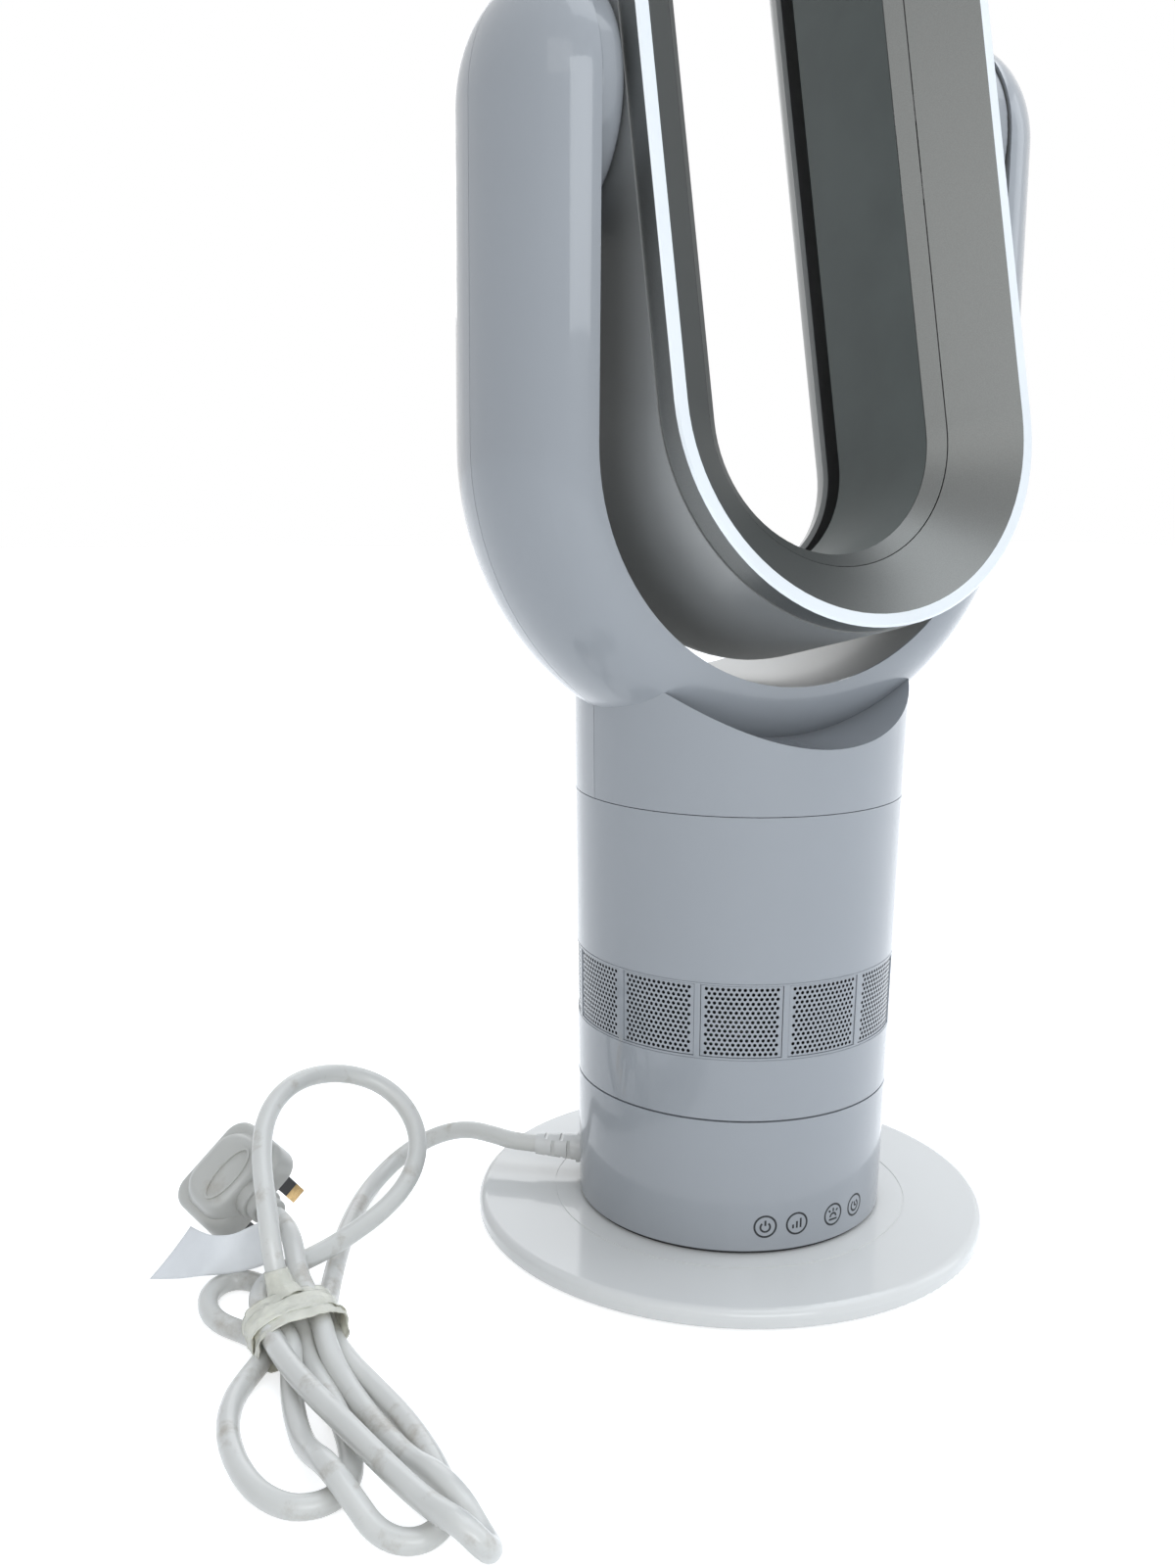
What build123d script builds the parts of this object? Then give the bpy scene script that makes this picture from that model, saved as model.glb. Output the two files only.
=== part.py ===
from build123d import *
import os
from math import acos, atan, atan2, cos, degrees, pi, radians, sin, sqrt, tan

# A pedestal fan without open blades: a round base plate with a short fixed column, a turning column
# that ends in a U-shaped yoke, and a tall oval air loop that tilts between the arms of the yoke.
# Frame: origin on the floor under the middle of the base plate, +Z up, front towards -Y,
# the arms of the yoke towards -X and +X. Every size is in millimetres.

# ---- base plate ----
PLATE_R = 105.0
PLATE_BOTTOM = 1.2
PLATE_TOP = 8.2
PLATE_EDGE = 3.4          # rounding of the upper rim
PLATE_SKIN = 2.6          # thickness of the plate above the ballast
PLATE_RIM = 6.0           # wall round the ballast
GROOVE_R = 73.0           # fine ring pressed into the plate
BALLAST_GAP = 0.5
BALLAST_THICK = 3.0
FOOT_R = 8.0
FOOT_RING_R = 87.0
FOOT_COUNT = 6

# ---- column ----
FOOT_Z = 9.75             # lower edge of the fixed column
FOOT_RADIUS = 62.6        # its radius there
FLARE = 0.0171            # growth of the column's radius per millimetre of height
WALL = 2.5                # wall of the moulded shells
SEAM_Z = 62.7             # seam between the fixed and the turning column
SEAM_GAP = 0.7
UPPER_SEAM_Z = 180.6      # seam between the turning column and the yoke
UPPER_SEAM_GAP = 0.3
SPIGOT_DROP = 1.4         # how far the dark ring under the column stands in
POST_INSET = 12.1         # from the column's face to the middle of a post
POST_R = 4.0
POST_TURN = 20.0          # direction of the first post
DECK_BOTTOM = 55.0
DECK_THICK = 3.5
FIT = 0.2                 # clearance between pieces that are fastened to each other
RUN = 0.06                # radial clearance of a running fit
SCREW_R = 1.9
SMALL_SCREW_R = 1.3

# ---- intake grille ----
GRILLE_BOTTOM = 88.2
GRILLE_TOP = 116.0
PANEL_COUNT = 12
PANEL_ANGLE = 27.6        # degrees taken by one panel
PANEL_GAP = 0.2
PANEL_RECESS = 0.4
PANEL_THICK = 2.0
HOLE_ROWS = 15
HOLES_LONG_ROW = 14
HOLE_PITCH = 2.075
HOLE_R = 0.69
HOLE_SIDES = 8
PANEL_FACETS = 156        # flats of the whole ring of panels
HOLE_ROW_PITCH = 1.80

# ---- swing drive ----
SPINDLE_R = 16.0
SPINDLE_BORE = 11.5
BUSH_WALL = 3.0
GEAR_MODULE = 1.25
RING_TEETH = 72
PINION_TEETH = 12
PRESSURE_ANGLE = 20.0
BACKLASH = 0.3
SECTOR_HALF_TEETH = 12
SECTOR_RIM = 4.9          # solid rim outside the teeth's roots
GEAR_THICK = 3.6
MOTOR_R = 14.0
MOTOR_HEIGHT = 17.0
MOTOR_OFFSET = 8.0        # from the motor's middle to its output shaft
SHAFT_R = 3.0

# ---- blower ----
DUCT_R = 42.0
DUCT_WALL = 2.0
BELL_Z = 123.0
BELL_R = 8.5
DUCT_TOP = 198.0
FAN_TIP_GAP = 1.0
FAN_BOTTOM = 129.5
FAN_HEIGHT = 23.5
BLADE_COUNT = 9
VANE_COUNT = 11
STATOR_BOTTOM = 158.0
STATOR_TOP = 190.0
HUB_OUTER = 22.0
HUB_INNER = 20.0
MOTOR_CAN_R = 17.0
ROTOR_SHAFT_R = 2.5

# ---- yoke ----
YOKE_INNER = 87.6         # from the middle plane to the flat inner face of an arm
ARM_THICK = 29.0          # thickness of an arm, outwards
ARM_HALF_DEPTH = 42.85    # half of its depth, front to back
BEND_Z = 312.5            # centre of the round bottom of the U
PIVOT_Z = 429.2           # tilt axis, and centre of the rounded tips of the arms
YOKE_WALL = 2.3
YOKE_SEAM = 0.3
SCOOP_R = 87.7            # the ledge under the saddle is cut along this arc
SCOOP_Z = 292.3
LINER_THICK = 2.2
LINER_MARGIN = 1.1
BOSS_IN = 13.4            # from the flat inner face to the middle of a screw boss
BOSS_R = 4.5

# ---- air loop ----
TILT = 12.9               # how far the loop leans back in its rest pose, degrees
LOOP_HALF_LENGTH = 117.6  # from the pivot to the centre of each round end
LOOP_R = 76.45            # outer half width of the front ring
SHELL_R = 76.95           # outer half width of the rear shell
LOOP_DEPTH = 97.4
PIVOT_DEPTH = 48.9        # from the front rim to the tilt axis
LOOP_WALL = 2.2
LIP_WIDTH = 4.65          # bright flat lip at the front rim
LIP_BAND = 10.6           # depth of the ring's side band
TONGUE_DEPTH = 3.0        # how far the ring reaches into the rear shell
TONGUE_WALL = 1.4
FUNNEL_R = 52.1
FUNNEL_DEPTH = 18.5
BEZEL_R = 46.6
BEZEL_DEPTH = 24.0
THROAT_R = 43.7           # rear end of the inner wall
THROAT_DEPTH = 74.0
REAR_ROUND = 17.6
REAR_LIP_R = 42.0
REAR_LIP_DEPTH = 83.2
PART_GAP = 0.3

# ---- hubs ----
DOME_R = 41.6
DOME_GAP = 0.4            # running gap between a dome and the arm
TRUNNION_R = 15.0
TRUNNION_BORE = 12.4
HUB_FLANGE_R = 22.0
BUSH_SEAT_WALL = 3.5      # wall of the tilt bushes
BUSH_LENGTH = 8.2

# ---- touch symbols ----
ICON_Z = 19.7
ICON_ANGLES = (-19.7, -7.85, 7.85, 19.7)
ICON_R = 4.66
ICON_LINE = 0.8
ICON_DEPTH = 0.3

# ---- mains lead and plug ----
CORD_R = 3.75
GLAND_AZIMUTH = 141.6     # direction of the outlet, from +X towards +Y
GLAND_Z = 19.3
GLAND_LENGTH = 20.0
GLAND_FLANGE_R = 6.5
PLUG_WIDTH = 42.0         # of the pin face
PLUG_LENGTH = 32.0
PLUG_TAPER = 4.0          # lean of its sides, degrees
PLUG_SLOPE = 8.0          # how much shorter the back is than the pin face
PLUG_THICK = 22.0
PLUG_CORNER = 9.0
PLUG_FOOT = 4.0           # from the lower pins to the side that the cord leaves
PIN_GAP = 11.1            # from the middle to each lower pin
EARTH_RISE = 22.2
PIN_LENGTH = 17.7
SLEEVE_LENGTH = 9.5
EARTH_LENGTH = 22.7
BOSS_STEPS = (8.0, 6.7, 5.5)
BOSS_STEP = 4.5

os.makedirs("parts", exist_ok=True)
MADE = {}


def save(name, *solids):
    """Write one node and remember it."""
    shape = solids[0] if len(solids) == 1 else Compound(children=list(solids))
    MADE[name] = shape
    export_step(shape, f"parts/{name}.step")


# ---------------------------------------------------------------- helpers

def column_radius(z):
    return FOOT_RADIUS + FLARE * (z - FOOT_Z)


def disc(radius, z0, z1, x=0.0, y=0.0):
    return Pos(x, y, z0) * Cylinder(radius, z1 - z0, align=(Align.CENTER, Align.CENTER, Align.MIN))


def tube(outer, inner, z0, z1, x=0.0, y=0.0):
    return disc(outer, z0, z1, x, y) - disc(inner, z0 - 1, z1 + 1, x, y)


def flared(z0, z1, inset=0.0):
    """Solid slice of the flared column, inset from its outer surface."""
    low, high = column_radius(z0) - inset, column_radius(z1) - inset
    return Pos(0, 0, z0) * Cone(low, high, z1 - z0, align=(Align.CENTER, Align.CENTER, Align.MIN))


def flared_shell(z0, z1, outer_inset, inner_inset):
    return flared(z0, z1, outer_inset) - flared(z0 - 1, z1 + 1, inner_inset)


def block(x0, x1, y0, y1, z0, z1):
    middle = Pos((x0 + x1) / 2, (y0 + y1) / 2, (z0 + z1) / 2)
    return middle * Box(x1 - x0, y1 - y0, z1 - z0)


def along_x(radius, x0, x1, y=0.0, z=0.0):
    return Pos(x0, y, z) * Rot(0, 90, 0) * Cylinder(
        radius, x1 - x0, align=(Align.CENTER, Align.CENTER, Align.MIN))


def along_y(radius, y0, y1, x=0.0, z=0.0):
    return Pos(x, y1, z) * Rot(90, 0, 0) * Cylinder(
        radius, y1 - y0, align=(Align.CENTER, Align.CENTER, Align.MIN))


def both_sides(make):
    """A solid on the +X side and its mirror image on the -X side."""
    right = make
    return right, mirror(right, Plane.YZ)


def ring_of(count, radius, first=0.0):
    """Points evenly round the column."""
    turn = 2 * pi / count
    return [(radius * cos(radians(first) + turn * i), radius * sin(radians(first) + turn * i))
            for i in range(count)]


POSTS = ring_of(4, FOOT_RADIUS - POST_INSET, POST_TURN)
DECK_TOP = DECK_BOTTOM + DECK_THICK
TURNTABLE_BOTTOM = SEAM_Z + 0.6
TURNTABLE_TOP = TURNTABLE_BOTTOM + 3.2
RIM_TOP = TURNTABLE_TOP + 4.5
TAB_RING_R = FOOT_RADIUS - 4.8


# ---------------------------------------------------------------- base

def base_plate():
    plate = disc(PLATE_R, PLATE_BOTTOM, PLATE_TOP)
    plate = fillet(plate.edges().sort_by(Axis.Z)[-1], PLATE_EDGE)
    plate = fillet(plate.edges().sort_by(Axis.Z)[0], 0.8)
    plate -= disc(PLATE_R - PLATE_RIM, PLATE_BOTTOM - 1, PLATE_TOP - PLATE_SKIN)
    plate -= tube(GROOVE_R + 0.35, GROOVE_R - 0.35, PLATE_TOP - 0.25, PLATE_TOP + 1)
    for x, y in POSTS:
        plate -= disc(SCREW_R + FIT, 0, 20, x, y)
    save("base_plate", plate)


BALLAST_TOP = PLATE_TOP - PLATE_SKIN
BALLAST_BOTTOM = BALLAST_TOP - BALLAST_THICK


def ballast_disc():
    weight = disc(PLATE_R - PLATE_RIM - BALLAST_GAP, BALLAST_BOTTOM, BALLAST_TOP)
    for x, y in POSTS:
        weight -= disc(SCREW_R + FIT, 0, 20, x, y)
        weight -= Pos(x, y, BALLAST_BOTTOM) * Cone(
            SCREW_R + 2.2, SCREW_R + FIT, 2.0, align=(Align.CENTER, Align.CENTER, Align.MIN))
    save("ballast_disc", weight)


def foot_pads():
    pads = []
    for x, y in ring_of(FOOT_COUNT, FOOT_RING_R, 90.0):
        pad = disc(FOOT_R, 0, BALLAST_BOTTOM, x, y)
        pads.append(fillet(pad.edges().sort_by(Axis.Z)[0], 0.6))
    save("foot_pads", *pads)


def base_screws():
    screws = []
    for x, y in POSTS:
        head = Pos(x, y, BALLAST_BOTTOM + 0.1) * Cone(
            SCREW_R + 1.9, SCREW_R, 1.9, align=(Align.CENTER, Align.CENTER, Align.MIN))
        screw = head + disc(SCREW_R, BALLAST_BOTTOM + 1.0, FOOT_Z + 14, x, y)
        screws.append(screw - block(x - 3, x + 3, y - 0.4, y + 0.4, 0, BALLAST_BOTTOM + 0.9))
    save("base_screws", *screws)


BOARD_BACK = 10.4 - FOOT_RADIUS
TOUCH_BOARD = 1.6


def base_chassis():
    body = disc(column_radius(FOOT_Z) - SPIGOT_DROP, PLATE_TOP, FOOT_Z)
    body += disc(column_radius(FOOT_Z) - WALL - FIT, FOOT_Z, FOOT_Z + 2.4)
    for x, y in POSTS:
        body += disc(POST_R, FOOT_Z, DECK_BOTTOM, x, y)
    for x in (-19.0, 19.0):
        body += block(x - 3, x + 3, BOARD_BACK, BOARD_BACK + 5, FOOT_Z, ICON_Z)
    for x, y in BOARD_POSTS:
        body += disc(2.6, FOOT_Z, POWER_BOARD_Z, x, y)
    for x, y in POSTS:
        body -= disc(SCREW_R, PLATE_TOP - 1, FOOT_Z + 14, x, y)
        body -= disc(SMALL_SCREW_R, DECK_BOTTOM - 10, DECK_BOTTOM + 1, x, y)
    save("base_chassis", body)


def icon_frame(angle):
    """Local frame on the column's face: x along the girth, y up, z outwards."""
    a = radians(angle)
    out = Vector(sin(a), -cos(a), 0)
    return Plane(origin=(0, 0, ICON_Z), x_dir=(cos(a), sin(a), 0), z_dir=out)


def stroke(*points):
    """A drawn line of the symbols' width, in the sketch plane."""
    return trace(Polyline(*points), ICON_LINE)


def ray(angle, near, far):
    a = radians(angle)
    return stroke((near * cos(a), near * sin(a)), (far * cos(a), far * sin(a)))


def power_symbol():
    arc = trace(CenterArc((0, -0.25), 1.9, 130, 280), ICON_LINE)
    return arc + stroke((0, 0.3), (0, 2.5))


def bars_symbol():
    low = stroke((-1.6, -1.9), (-1.6, -0.3))
    mid = stroke((0, -1.9), (0, 0.9))
    high = stroke((1.6, -1.9), (1.6, 2.0))
    return low + mid + high


def swing_symbol():
    arc = trace(CenterArc((0, -1.0), 1.5, 0, 180), ICON_LINE)
    return (arc + ray(90, 1.2, 2.7) + ray(40, 1.9, 3.1) + ray(140, 1.9, 3.1)
            + stroke((-2.1, -2.0), (2.1, -2.0)))


def timer_symbol():
    dial = trace(CenterArc((0, -0.2), 2.1, 120, 300), ICON_LINE)
    return dial + stroke((0, 1.4), (0, -0.3)) + stroke((0, -0.3), (1.2, -0.3))


def icon_solids():
    """Every printed stroke, as a thin inlay in the column's face."""
    skin = flared_shell(FOOT_Z, SEAM_Z, 0, ICON_DEPTH)
    symbols = (power_symbol(), bars_symbol(), swing_symbol(), timer_symbol())
    inlays = []
    for angle, symbol in zip(ICON_ANGLES, symbols):
        ring = Circle(ICON_R) - Circle(ICON_R - ICON_LINE)
        for flat in (ring, symbol):
            placed = icon_frame(angle) * flat
            solid = extrude(placed, 90, dir=icon_frame(angle).z_dir)
            cut = solid & skin
            inlays += cut.solids()
    return inlays


def base_shell(inlays):
    shell = flared_shell(FOOT_Z, SEAM_Z - SEAM_GAP / 2, 0, WALL)
    shell -= gland_axis() * along_x(CORD_R + 1.1, 40, 90)
    for inlay in inlays:
        shell -= inlay
    save("base_shell", shell)
    save("touch_symbols", *inlays)


def control_board():
    board = block(-25, 25, BOARD_BACK - TOUCH_BOARD, BOARD_BACK, FOOT_Z + 2.6, ICON_Z + 9)
    board += block(-11, 11, BOARD_BACK, BOARD_BACK + 4, ICON_Z + 2, ICON_Z + 8)
    board += block(-7, 7, BOARD_BACK, BOARD_BACK + 2, ICON_Z - 5, ICON_Z)
    save("control_board", board)


def touch_pads():
    """Conductive foam between the board and the wall, one behind each symbol."""
    inside = flared(FOOT_Z, 60, WALL)
    pads = []
    for angle in ICON_ANGLES:
        x = column_radius(ICON_Z) * sin(radians(angle))
        pads += (along_y(3.4, -90, BOARD_BACK - TOUCH_BOARD, x, ICON_Z) & inside).solids()
    save("touch_pads", *pads)


POWER_BOARD_Z = FOOT_Z + 6.0
TERMINAL_R = 42.0
BOARD_POSTS = [(x, y) for x in (-32.0, 10.0) for y in (-20.0, 14.0)]


def power_board():
    z = POWER_BOARD_Z + 1.6
    board = block(-40, 16, -24, 30, POWER_BOARD_Z, z)
    board += block(-36, -18, -21, -7, z, z + 13)
    board += disc(7.0, z, z + 15, -6, -14)
    board += block(-4, 10, 9, 20, z, z + 11)
    board += block(-5, 5, -5, 5, z, z + 8)
    board += gland_axis(0) * block(TERMINAL_R - 14, TERMINAL_R, -5, 5, z, z + 8)
    board -= gland_axis(0) * block(TERMINAL_R, 60, -CORD_R - 1, CORD_R + 1, POWER_BOARD_Z - 1, z + 9)
    save("power_board", board)


def inner_lead():
    lead = gland_axis() * along_x(CORD_R, TERMINAL_R, NUT_START)
    save("inner_mains_lead", lead)


LEAD_TOP = TURNTABLE_TOP
NUT_START = 52.0


def base_lead():
    lead = disc(2.5, POWER_BOARD_Z + 9.6, LEAD_TOP)
    save("swing_lead", lead)


def bearing_deck():
    deck = disc(column_radius(DECK_BOTTOM) - WALL - FIT, DECK_BOTTOM, DECK_TOP)
    deck += disc(SPINDLE_R + RUN + BUSH_WALL + 4, DECK_BOTTOM - 6, DECK_BOTTOM)
    for x in MOTOR_EARS:
        deck += disc(3.5, MOTOR_TOP, DECK_BOTTOM, x, PINION_Y)
    deck -= disc(SPINDLE_R + RUN + BUSH_WALL + FIT / 2, 40, 80)
    deck -= disc(MOTOR_BOSS_R + FIT, 40, 80, 0, PINION_Y)
    for x, y in POSTS:
        deck -= disc(SMALL_SCREW_R + FIT, DECK_BOTTOM - 1, DECK_TOP + 1, x, y)
        deck -= Pos(x, y, DECK_TOP - 2.2) * Cone(
            SMALL_SCREW_R + FIT, SMALL_SCREW_R + 2.4, 2.2, align=(Align.CENTER, Align.CENTER, Align.MIN))
    for x in MOTOR_EARS:
        deck -= disc(1.1, MOTOR_TOP - 1, DECK_TOP - 1, x, PINION_Y)
    save("bearing_deck", deck)


def deck_screws():
    screws = []
    for x, y in POSTS:
        head = Pos(x, y, DECK_TOP - 2.2) * Cone(
            SMALL_SCREW_R, SMALL_SCREW_R + 2.2, 2.1, align=(Align.CENTER, Align.CENTER, Align.MIN))
        screws.append(head + disc(SMALL_SCREW_R, DECK_BOTTOM - 9, DECK_TOP - 2, x, y))
    for x in MOTOR_EARS:
        shank = disc(1.1, MOTOR_TOP - EAR_THICK, DECK_BOTTOM + 1, x, PINION_Y)
        screws.append(shank + disc(2.2, MOTOR_TOP - EAR_THICK - 1.6, MOTOR_TOP - EAR_THICK, x, PINION_Y))
    save("deck_screws", *screws)


def slide_ring():
    inner = SECTOR_BODY_R + 1.2
    ring = tube(inner + 4.6, inner, DECK_TOP, TURNTABLE_BOTTOM - 0.1)
    save("slide_ring", ring)


def spindle_bush():
    outer = SPINDLE_R + RUN + BUSH_WALL
    bush = disc(outer, DECK_BOTTOM - 6, DECK_TOP) + disc(outer + 3, DECK_BOTTOM - 7.6, DECK_BOTTOM - 6)
    bush -= disc(SPINDLE_R + RUN, 40, 80)
    save("spindle_bush", bush)


# ---------------------------------------------------------------- swing drive

PINION_Y = GEAR_MODULE * (RING_TEETH - PINION_TEETH) / 2
MOTOR_BOSS_R = 4.6
MOTOR_TOP = DECK_BOTTOM - 3.5
MOTOR_EARS = (MOTOR_OFFSET - 17.5, MOTOR_OFFSET + 17.5)
EAR_THICK = 1.2
PINION_BOTTOM = DECK_TOP + 0.6
GEAR_ROOT_R = GEAR_MODULE * (RING_TEETH / 2 + 1.3)
SECTOR_BODY_R = GEAR_ROOT_R + SECTOR_RIM


def swing_motor():
    can = disc(MOTOR_R, MOTOR_TOP - MOTOR_HEIGHT, MOTOR_TOP, MOTOR_OFFSET, PINION_Y)
    can = fillet(can.edges().sort_by(Axis.Z)[0], 1.2)
    left, right = MOTOR_EARS
    can += block(left - 3.5, right + 3.5, PINION_Y - 3.5, PINION_Y + 3.5, MOTOR_TOP - EAR_THICK, MOTOR_TOP)
    can += disc(MOTOR_BOSS_R, MOTOR_TOP, DECK_BOTTOM + 1.2, 0, PINION_Y)
    can -= disc(SHAFT_R + RUN, MOTOR_TOP - 6, DECK_TOP + 5, 0, PINION_Y)
    for x in MOTOR_EARS:
        can -= disc(1.1 + FIT, 40, 70, x, PINION_Y)
    can += block(MOTOR_OFFSET - 6, MOTOR_OFFSET + 6, PINION_Y - MOTOR_R - 2.5, PINION_Y - MOTOR_R + 3,
                 MOTOR_TOP - 14, MOTOR_TOP - 7)
    save("swing_motor", can)


def involute(angle):
    return tan(angle) - angle


def tooth_flank(teeth, thickness, r_from, r_to, steps=5):
    """Half angle of an involute tooth at a few radii, from its root to its tip."""
    pitch_r = GEAR_MODULE * teeth / 2
    base_r = pitch_r * cos(radians(PRESSURE_ANGLE))
    middle = thickness / (2 * pitch_r) + involute(radians(PRESSURE_ANGLE))
    flank = []
    for i in range(steps):
        r = r_from + (r_to - r_from) * i / (steps - 1)
        flank.append((r, middle - involute(acos(min(1.0, base_r / max(r, base_r))))))
    return flank


def tooth_outline(flank, turn):
    """Closed outline of one tooth, reaching into the body under its root."""
    deep = flank[0][0] - 1.5
    half = [(deep, flank[0][1])] + flank
    right = [(r * cos(turn - a), r * sin(turn - a)) for r, a in half]
    left = [(r * cos(turn + a), r * sin(turn + a)) for r, a in reversed(half)]
    return make_face(Polyline(*right, *left, close=True))


def swing_pinion():
    pitch_r = GEAR_MODULE * PINION_TEETH / 2
    root, tip = pitch_r - 1.25 * GEAR_MODULE, pitch_r + GEAR_MODULE
    thickness = pi * GEAR_MODULE / 2 - BACKLASH / 2
    outline = Circle(root)
    flank = tooth_flank(PINION_TEETH, thickness, root, tip)
    for i in range(PINION_TEETH):
        outline += tooth_outline(flank, 2 * pi * i / PINION_TEETH + pi / 2)
    gear = extrude(Pos(0, PINION_Y, PINION_BOTTOM) * outline, GEAR_THICK)
    gear += disc(SHAFT_R, MOTOR_TOP - 5, PINION_BOTTOM, 0, PINION_Y)
    save("swing_pinion", gear)


def swing_gear():
    """Toothed sector inside a ring, fixed under the turntable around the motor's side."""
    pitch_r = GEAR_MODULE * RING_TEETH / 2
    tip, root = pitch_r - 0.9 * GEAR_MODULE, GEAR_ROOT_R
    space = pi * GEAR_MODULE / 2 + BACKLASH / 2
    half_angle = 360.0 * (SECTOR_HALF_TEETH + 0.5) / RING_TEETH
    start = 90.0 - half_angle
    arc_out = CenterArc((0, 0), SECTOR_BODY_R, start, 2 * half_angle)
    arc_in = CenterArc((0, 0), tip, start, 2 * half_angle)
    outline = make_face([arc_out, Line(arc_out @ 1, arc_in @ 1), arc_in, Line(arc_in @ 0, arc_out @ 0)])
    flank = tooth_flank(RING_TEETH, space, tip, root)
    for i in range(-SECTOR_HALF_TEETH, SECTOR_HALF_TEETH + 1):
        outline -= tooth_outline(flank, 2 * pi * i / RING_TEETH + pi / 2)
    sector = extrude(Pos(0, 0, PINION_BOTTOM + 0.1) * outline, TURNTABLE_BOTTOM - PINION_BOTTOM - 0.1)
    for x, y in GEAR_SCREWS:
        sector -= disc(1.0 + FIT, 40, 80, x, y)
    save("swing_gear", sector)


GEAR_SCREW_R = GEAR_ROOT_R + SECTOR_RIM / 2
GEAR_SCREWS = [(GEAR_SCREW_R * cos(radians(a)), GEAR_SCREW_R * sin(radians(a))) for a in (40, 72, 108, 140)]


# ---------------------------------------------------------------- turning column

def turntable():
    """Disc that carries the turning column, with the hollow spindle under it."""
    outer = column_radius(TURNTABLE_BOTTOM) - WALL - FIT
    table = disc(outer, TURNTABLE_BOTTOM, TURNTABLE_TOP)
    table += tube(outer, outer - 3.0, TURNTABLE_TOP, RIM_TOP)
    table += disc(SPINDLE_R, DECK_BOTTOM - 10.6, TURNTABLE_BOTTOM)
    for x, y in ring_of(4, TAB_RING_R, 45.0):
        table += disc(3.2, TURNTABLE_TOP, RIM_TOP, x, y) & disc(outer, TURNTABLE_TOP, RIM_TOP)
        table -= disc(SMALL_SCREW_R, TURNTABLE_TOP - 1, RIM_TOP + 1, x, y)
    for x, y in DRIVER_POSTS:
        table += disc(2.4, TURNTABLE_TOP, DRIVER_Z, x, y)
    for x, y in GEAR_SCREWS:
        table -= disc(1.0, TURNTABLE_BOTTOM - 1, TURNTABLE_TOP - 1, x, y)
    table -= disc(SPINDLE_BORE, 40, 90)
    table -= tube(SPINDLE_R + 1, SPINDLE_R - 1.1, DECK_BOTTOM - 9.6, DECK_BOTTOM - 8.0)
    save("turntable", table)


def spindle_clip():
    """Split ring in the spindle's groove, which holds the turning part down."""
    clip = tube(SPINDLE_R + 3.2, SPINDLE_R - 1.0, DECK_BOTTOM - 9.5, DECK_BOTTOM - 8.1)
    clip -= block(SPINDLE_R - 5, SPINDLE_R + 5, -3.5, 3.5, 40, 70)
    save("spindle_clip", clip)


DRIVER_Z = TURNTABLE_TOP + 7.0
DRIVER_POSTS = [(x, y) for x in (-22.0, 22.0) for y in (-14.0, 14.0)]


def driver_board():
    z = DRIVER_Z + 1.6
    board = block(-26, 26, -18, 18, DRIVER_Z, z)
    board += disc(4.5, z, z + 9, -17, 7)
    board += disc(4.5, z, z + 9, -17, -6)
    board += block(-4, 9, -11, 1, z, z + 3)
    board += block(16, 24, -5, 5, z, z + 6)
    save("motor_driver_board", board)


def turntable_lead():
    lead = disc(2.5, LEAD_TOP, DRIVER_Z)
    save("driver_lead", lead)


def column_shell():
    bottom, top = SEAM_Z + SEAM_GAP / 2, UPPER_SEAM_Z - UPPER_SEAM_GAP
    shell = flared_shell(bottom, top, 0, WALL)
    shell += flared_shell(RIM_TOP, LEDGE_TOP, WALL - 0.5, 8.4)
    shell += flared_shell(BELL_Z - 2.6, BELL_Z, WALL - 0.5, 8.4)
    shell += flared_shell(top - 7, top, WALL - 0.5, 4.6)
    shell += flared_shell(top - 1, top + 7, WALL + FIT, 4.6)
    for i in range(PANEL_COUNT):
        shell -= window(i, PANEL_ANGLE, GRILLE_BOTTOM, GRILLE_TOP, PANEL_GAP)
    for x, y in ring_of(4, TAB_RING_R, 45.0):
        shell -= disc(SMALL_SCREW_R + FIT, RIM_TOP - 1, LEDGE_TOP + 1, x, y)
    for x, y in ring_of(3, BELL_SCREW_R, 30.0):
        shell -= disc(SMALL_SCREW_R, BELL_Z - 4, BELL_Z + 1, x, y)
    shell -= disc(LEAD_R + 1.2, BELL_Z - 4, BELL_Z + 1, *LEAD_HOLE)
    # fine rings above and below the grille
    for z in (GRILLE_BOTTOM - 1.2, GRILLE_TOP + 0.8):
        shell -= flared_shell(z, z + 0.4, -1, 0.25)
    save("column_shell", shell)


LEDGE_TOP = RIM_TOP + 2.4


def window(i, angle, z0, z1, margin):
    """Wedge that cuts one grille window through the wall."""
    half = radians(angle / 2) + margin / column_radius(z0)
    far = 2 * FOOT_RADIUS
    middle = 2 * pi * i / PANEL_COUNT - pi / 2
    low, high = middle - half, middle + half
    wedge = Polyline((0, 0), (far * cos(low), far * sin(low)), (far * cos(high), far * sin(high)), close=True)
    solid = extrude(Pos(0, 0, z0 - margin) * make_face(wedge), z1 - z0 + 2 * margin)
    return solid - disc(FOOT_RADIUS - 12, z0 - 5, z1 + 5)


def facetted(inset):
    """The column beside the grille as a many-sided prism with leaning sides."""
    low = column_radius(GRILLE_BOTTOM - 2) - inset
    outline = RegularPolygon(low, PANEL_FACETS)
    height = GRILLE_TOP - GRILLE_BOTTOM + 4
    return Pos(0, 0, GRILLE_BOTTOM - 2) * extrude(outline, height, taper=-degrees(atan(FLARE)))


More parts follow.
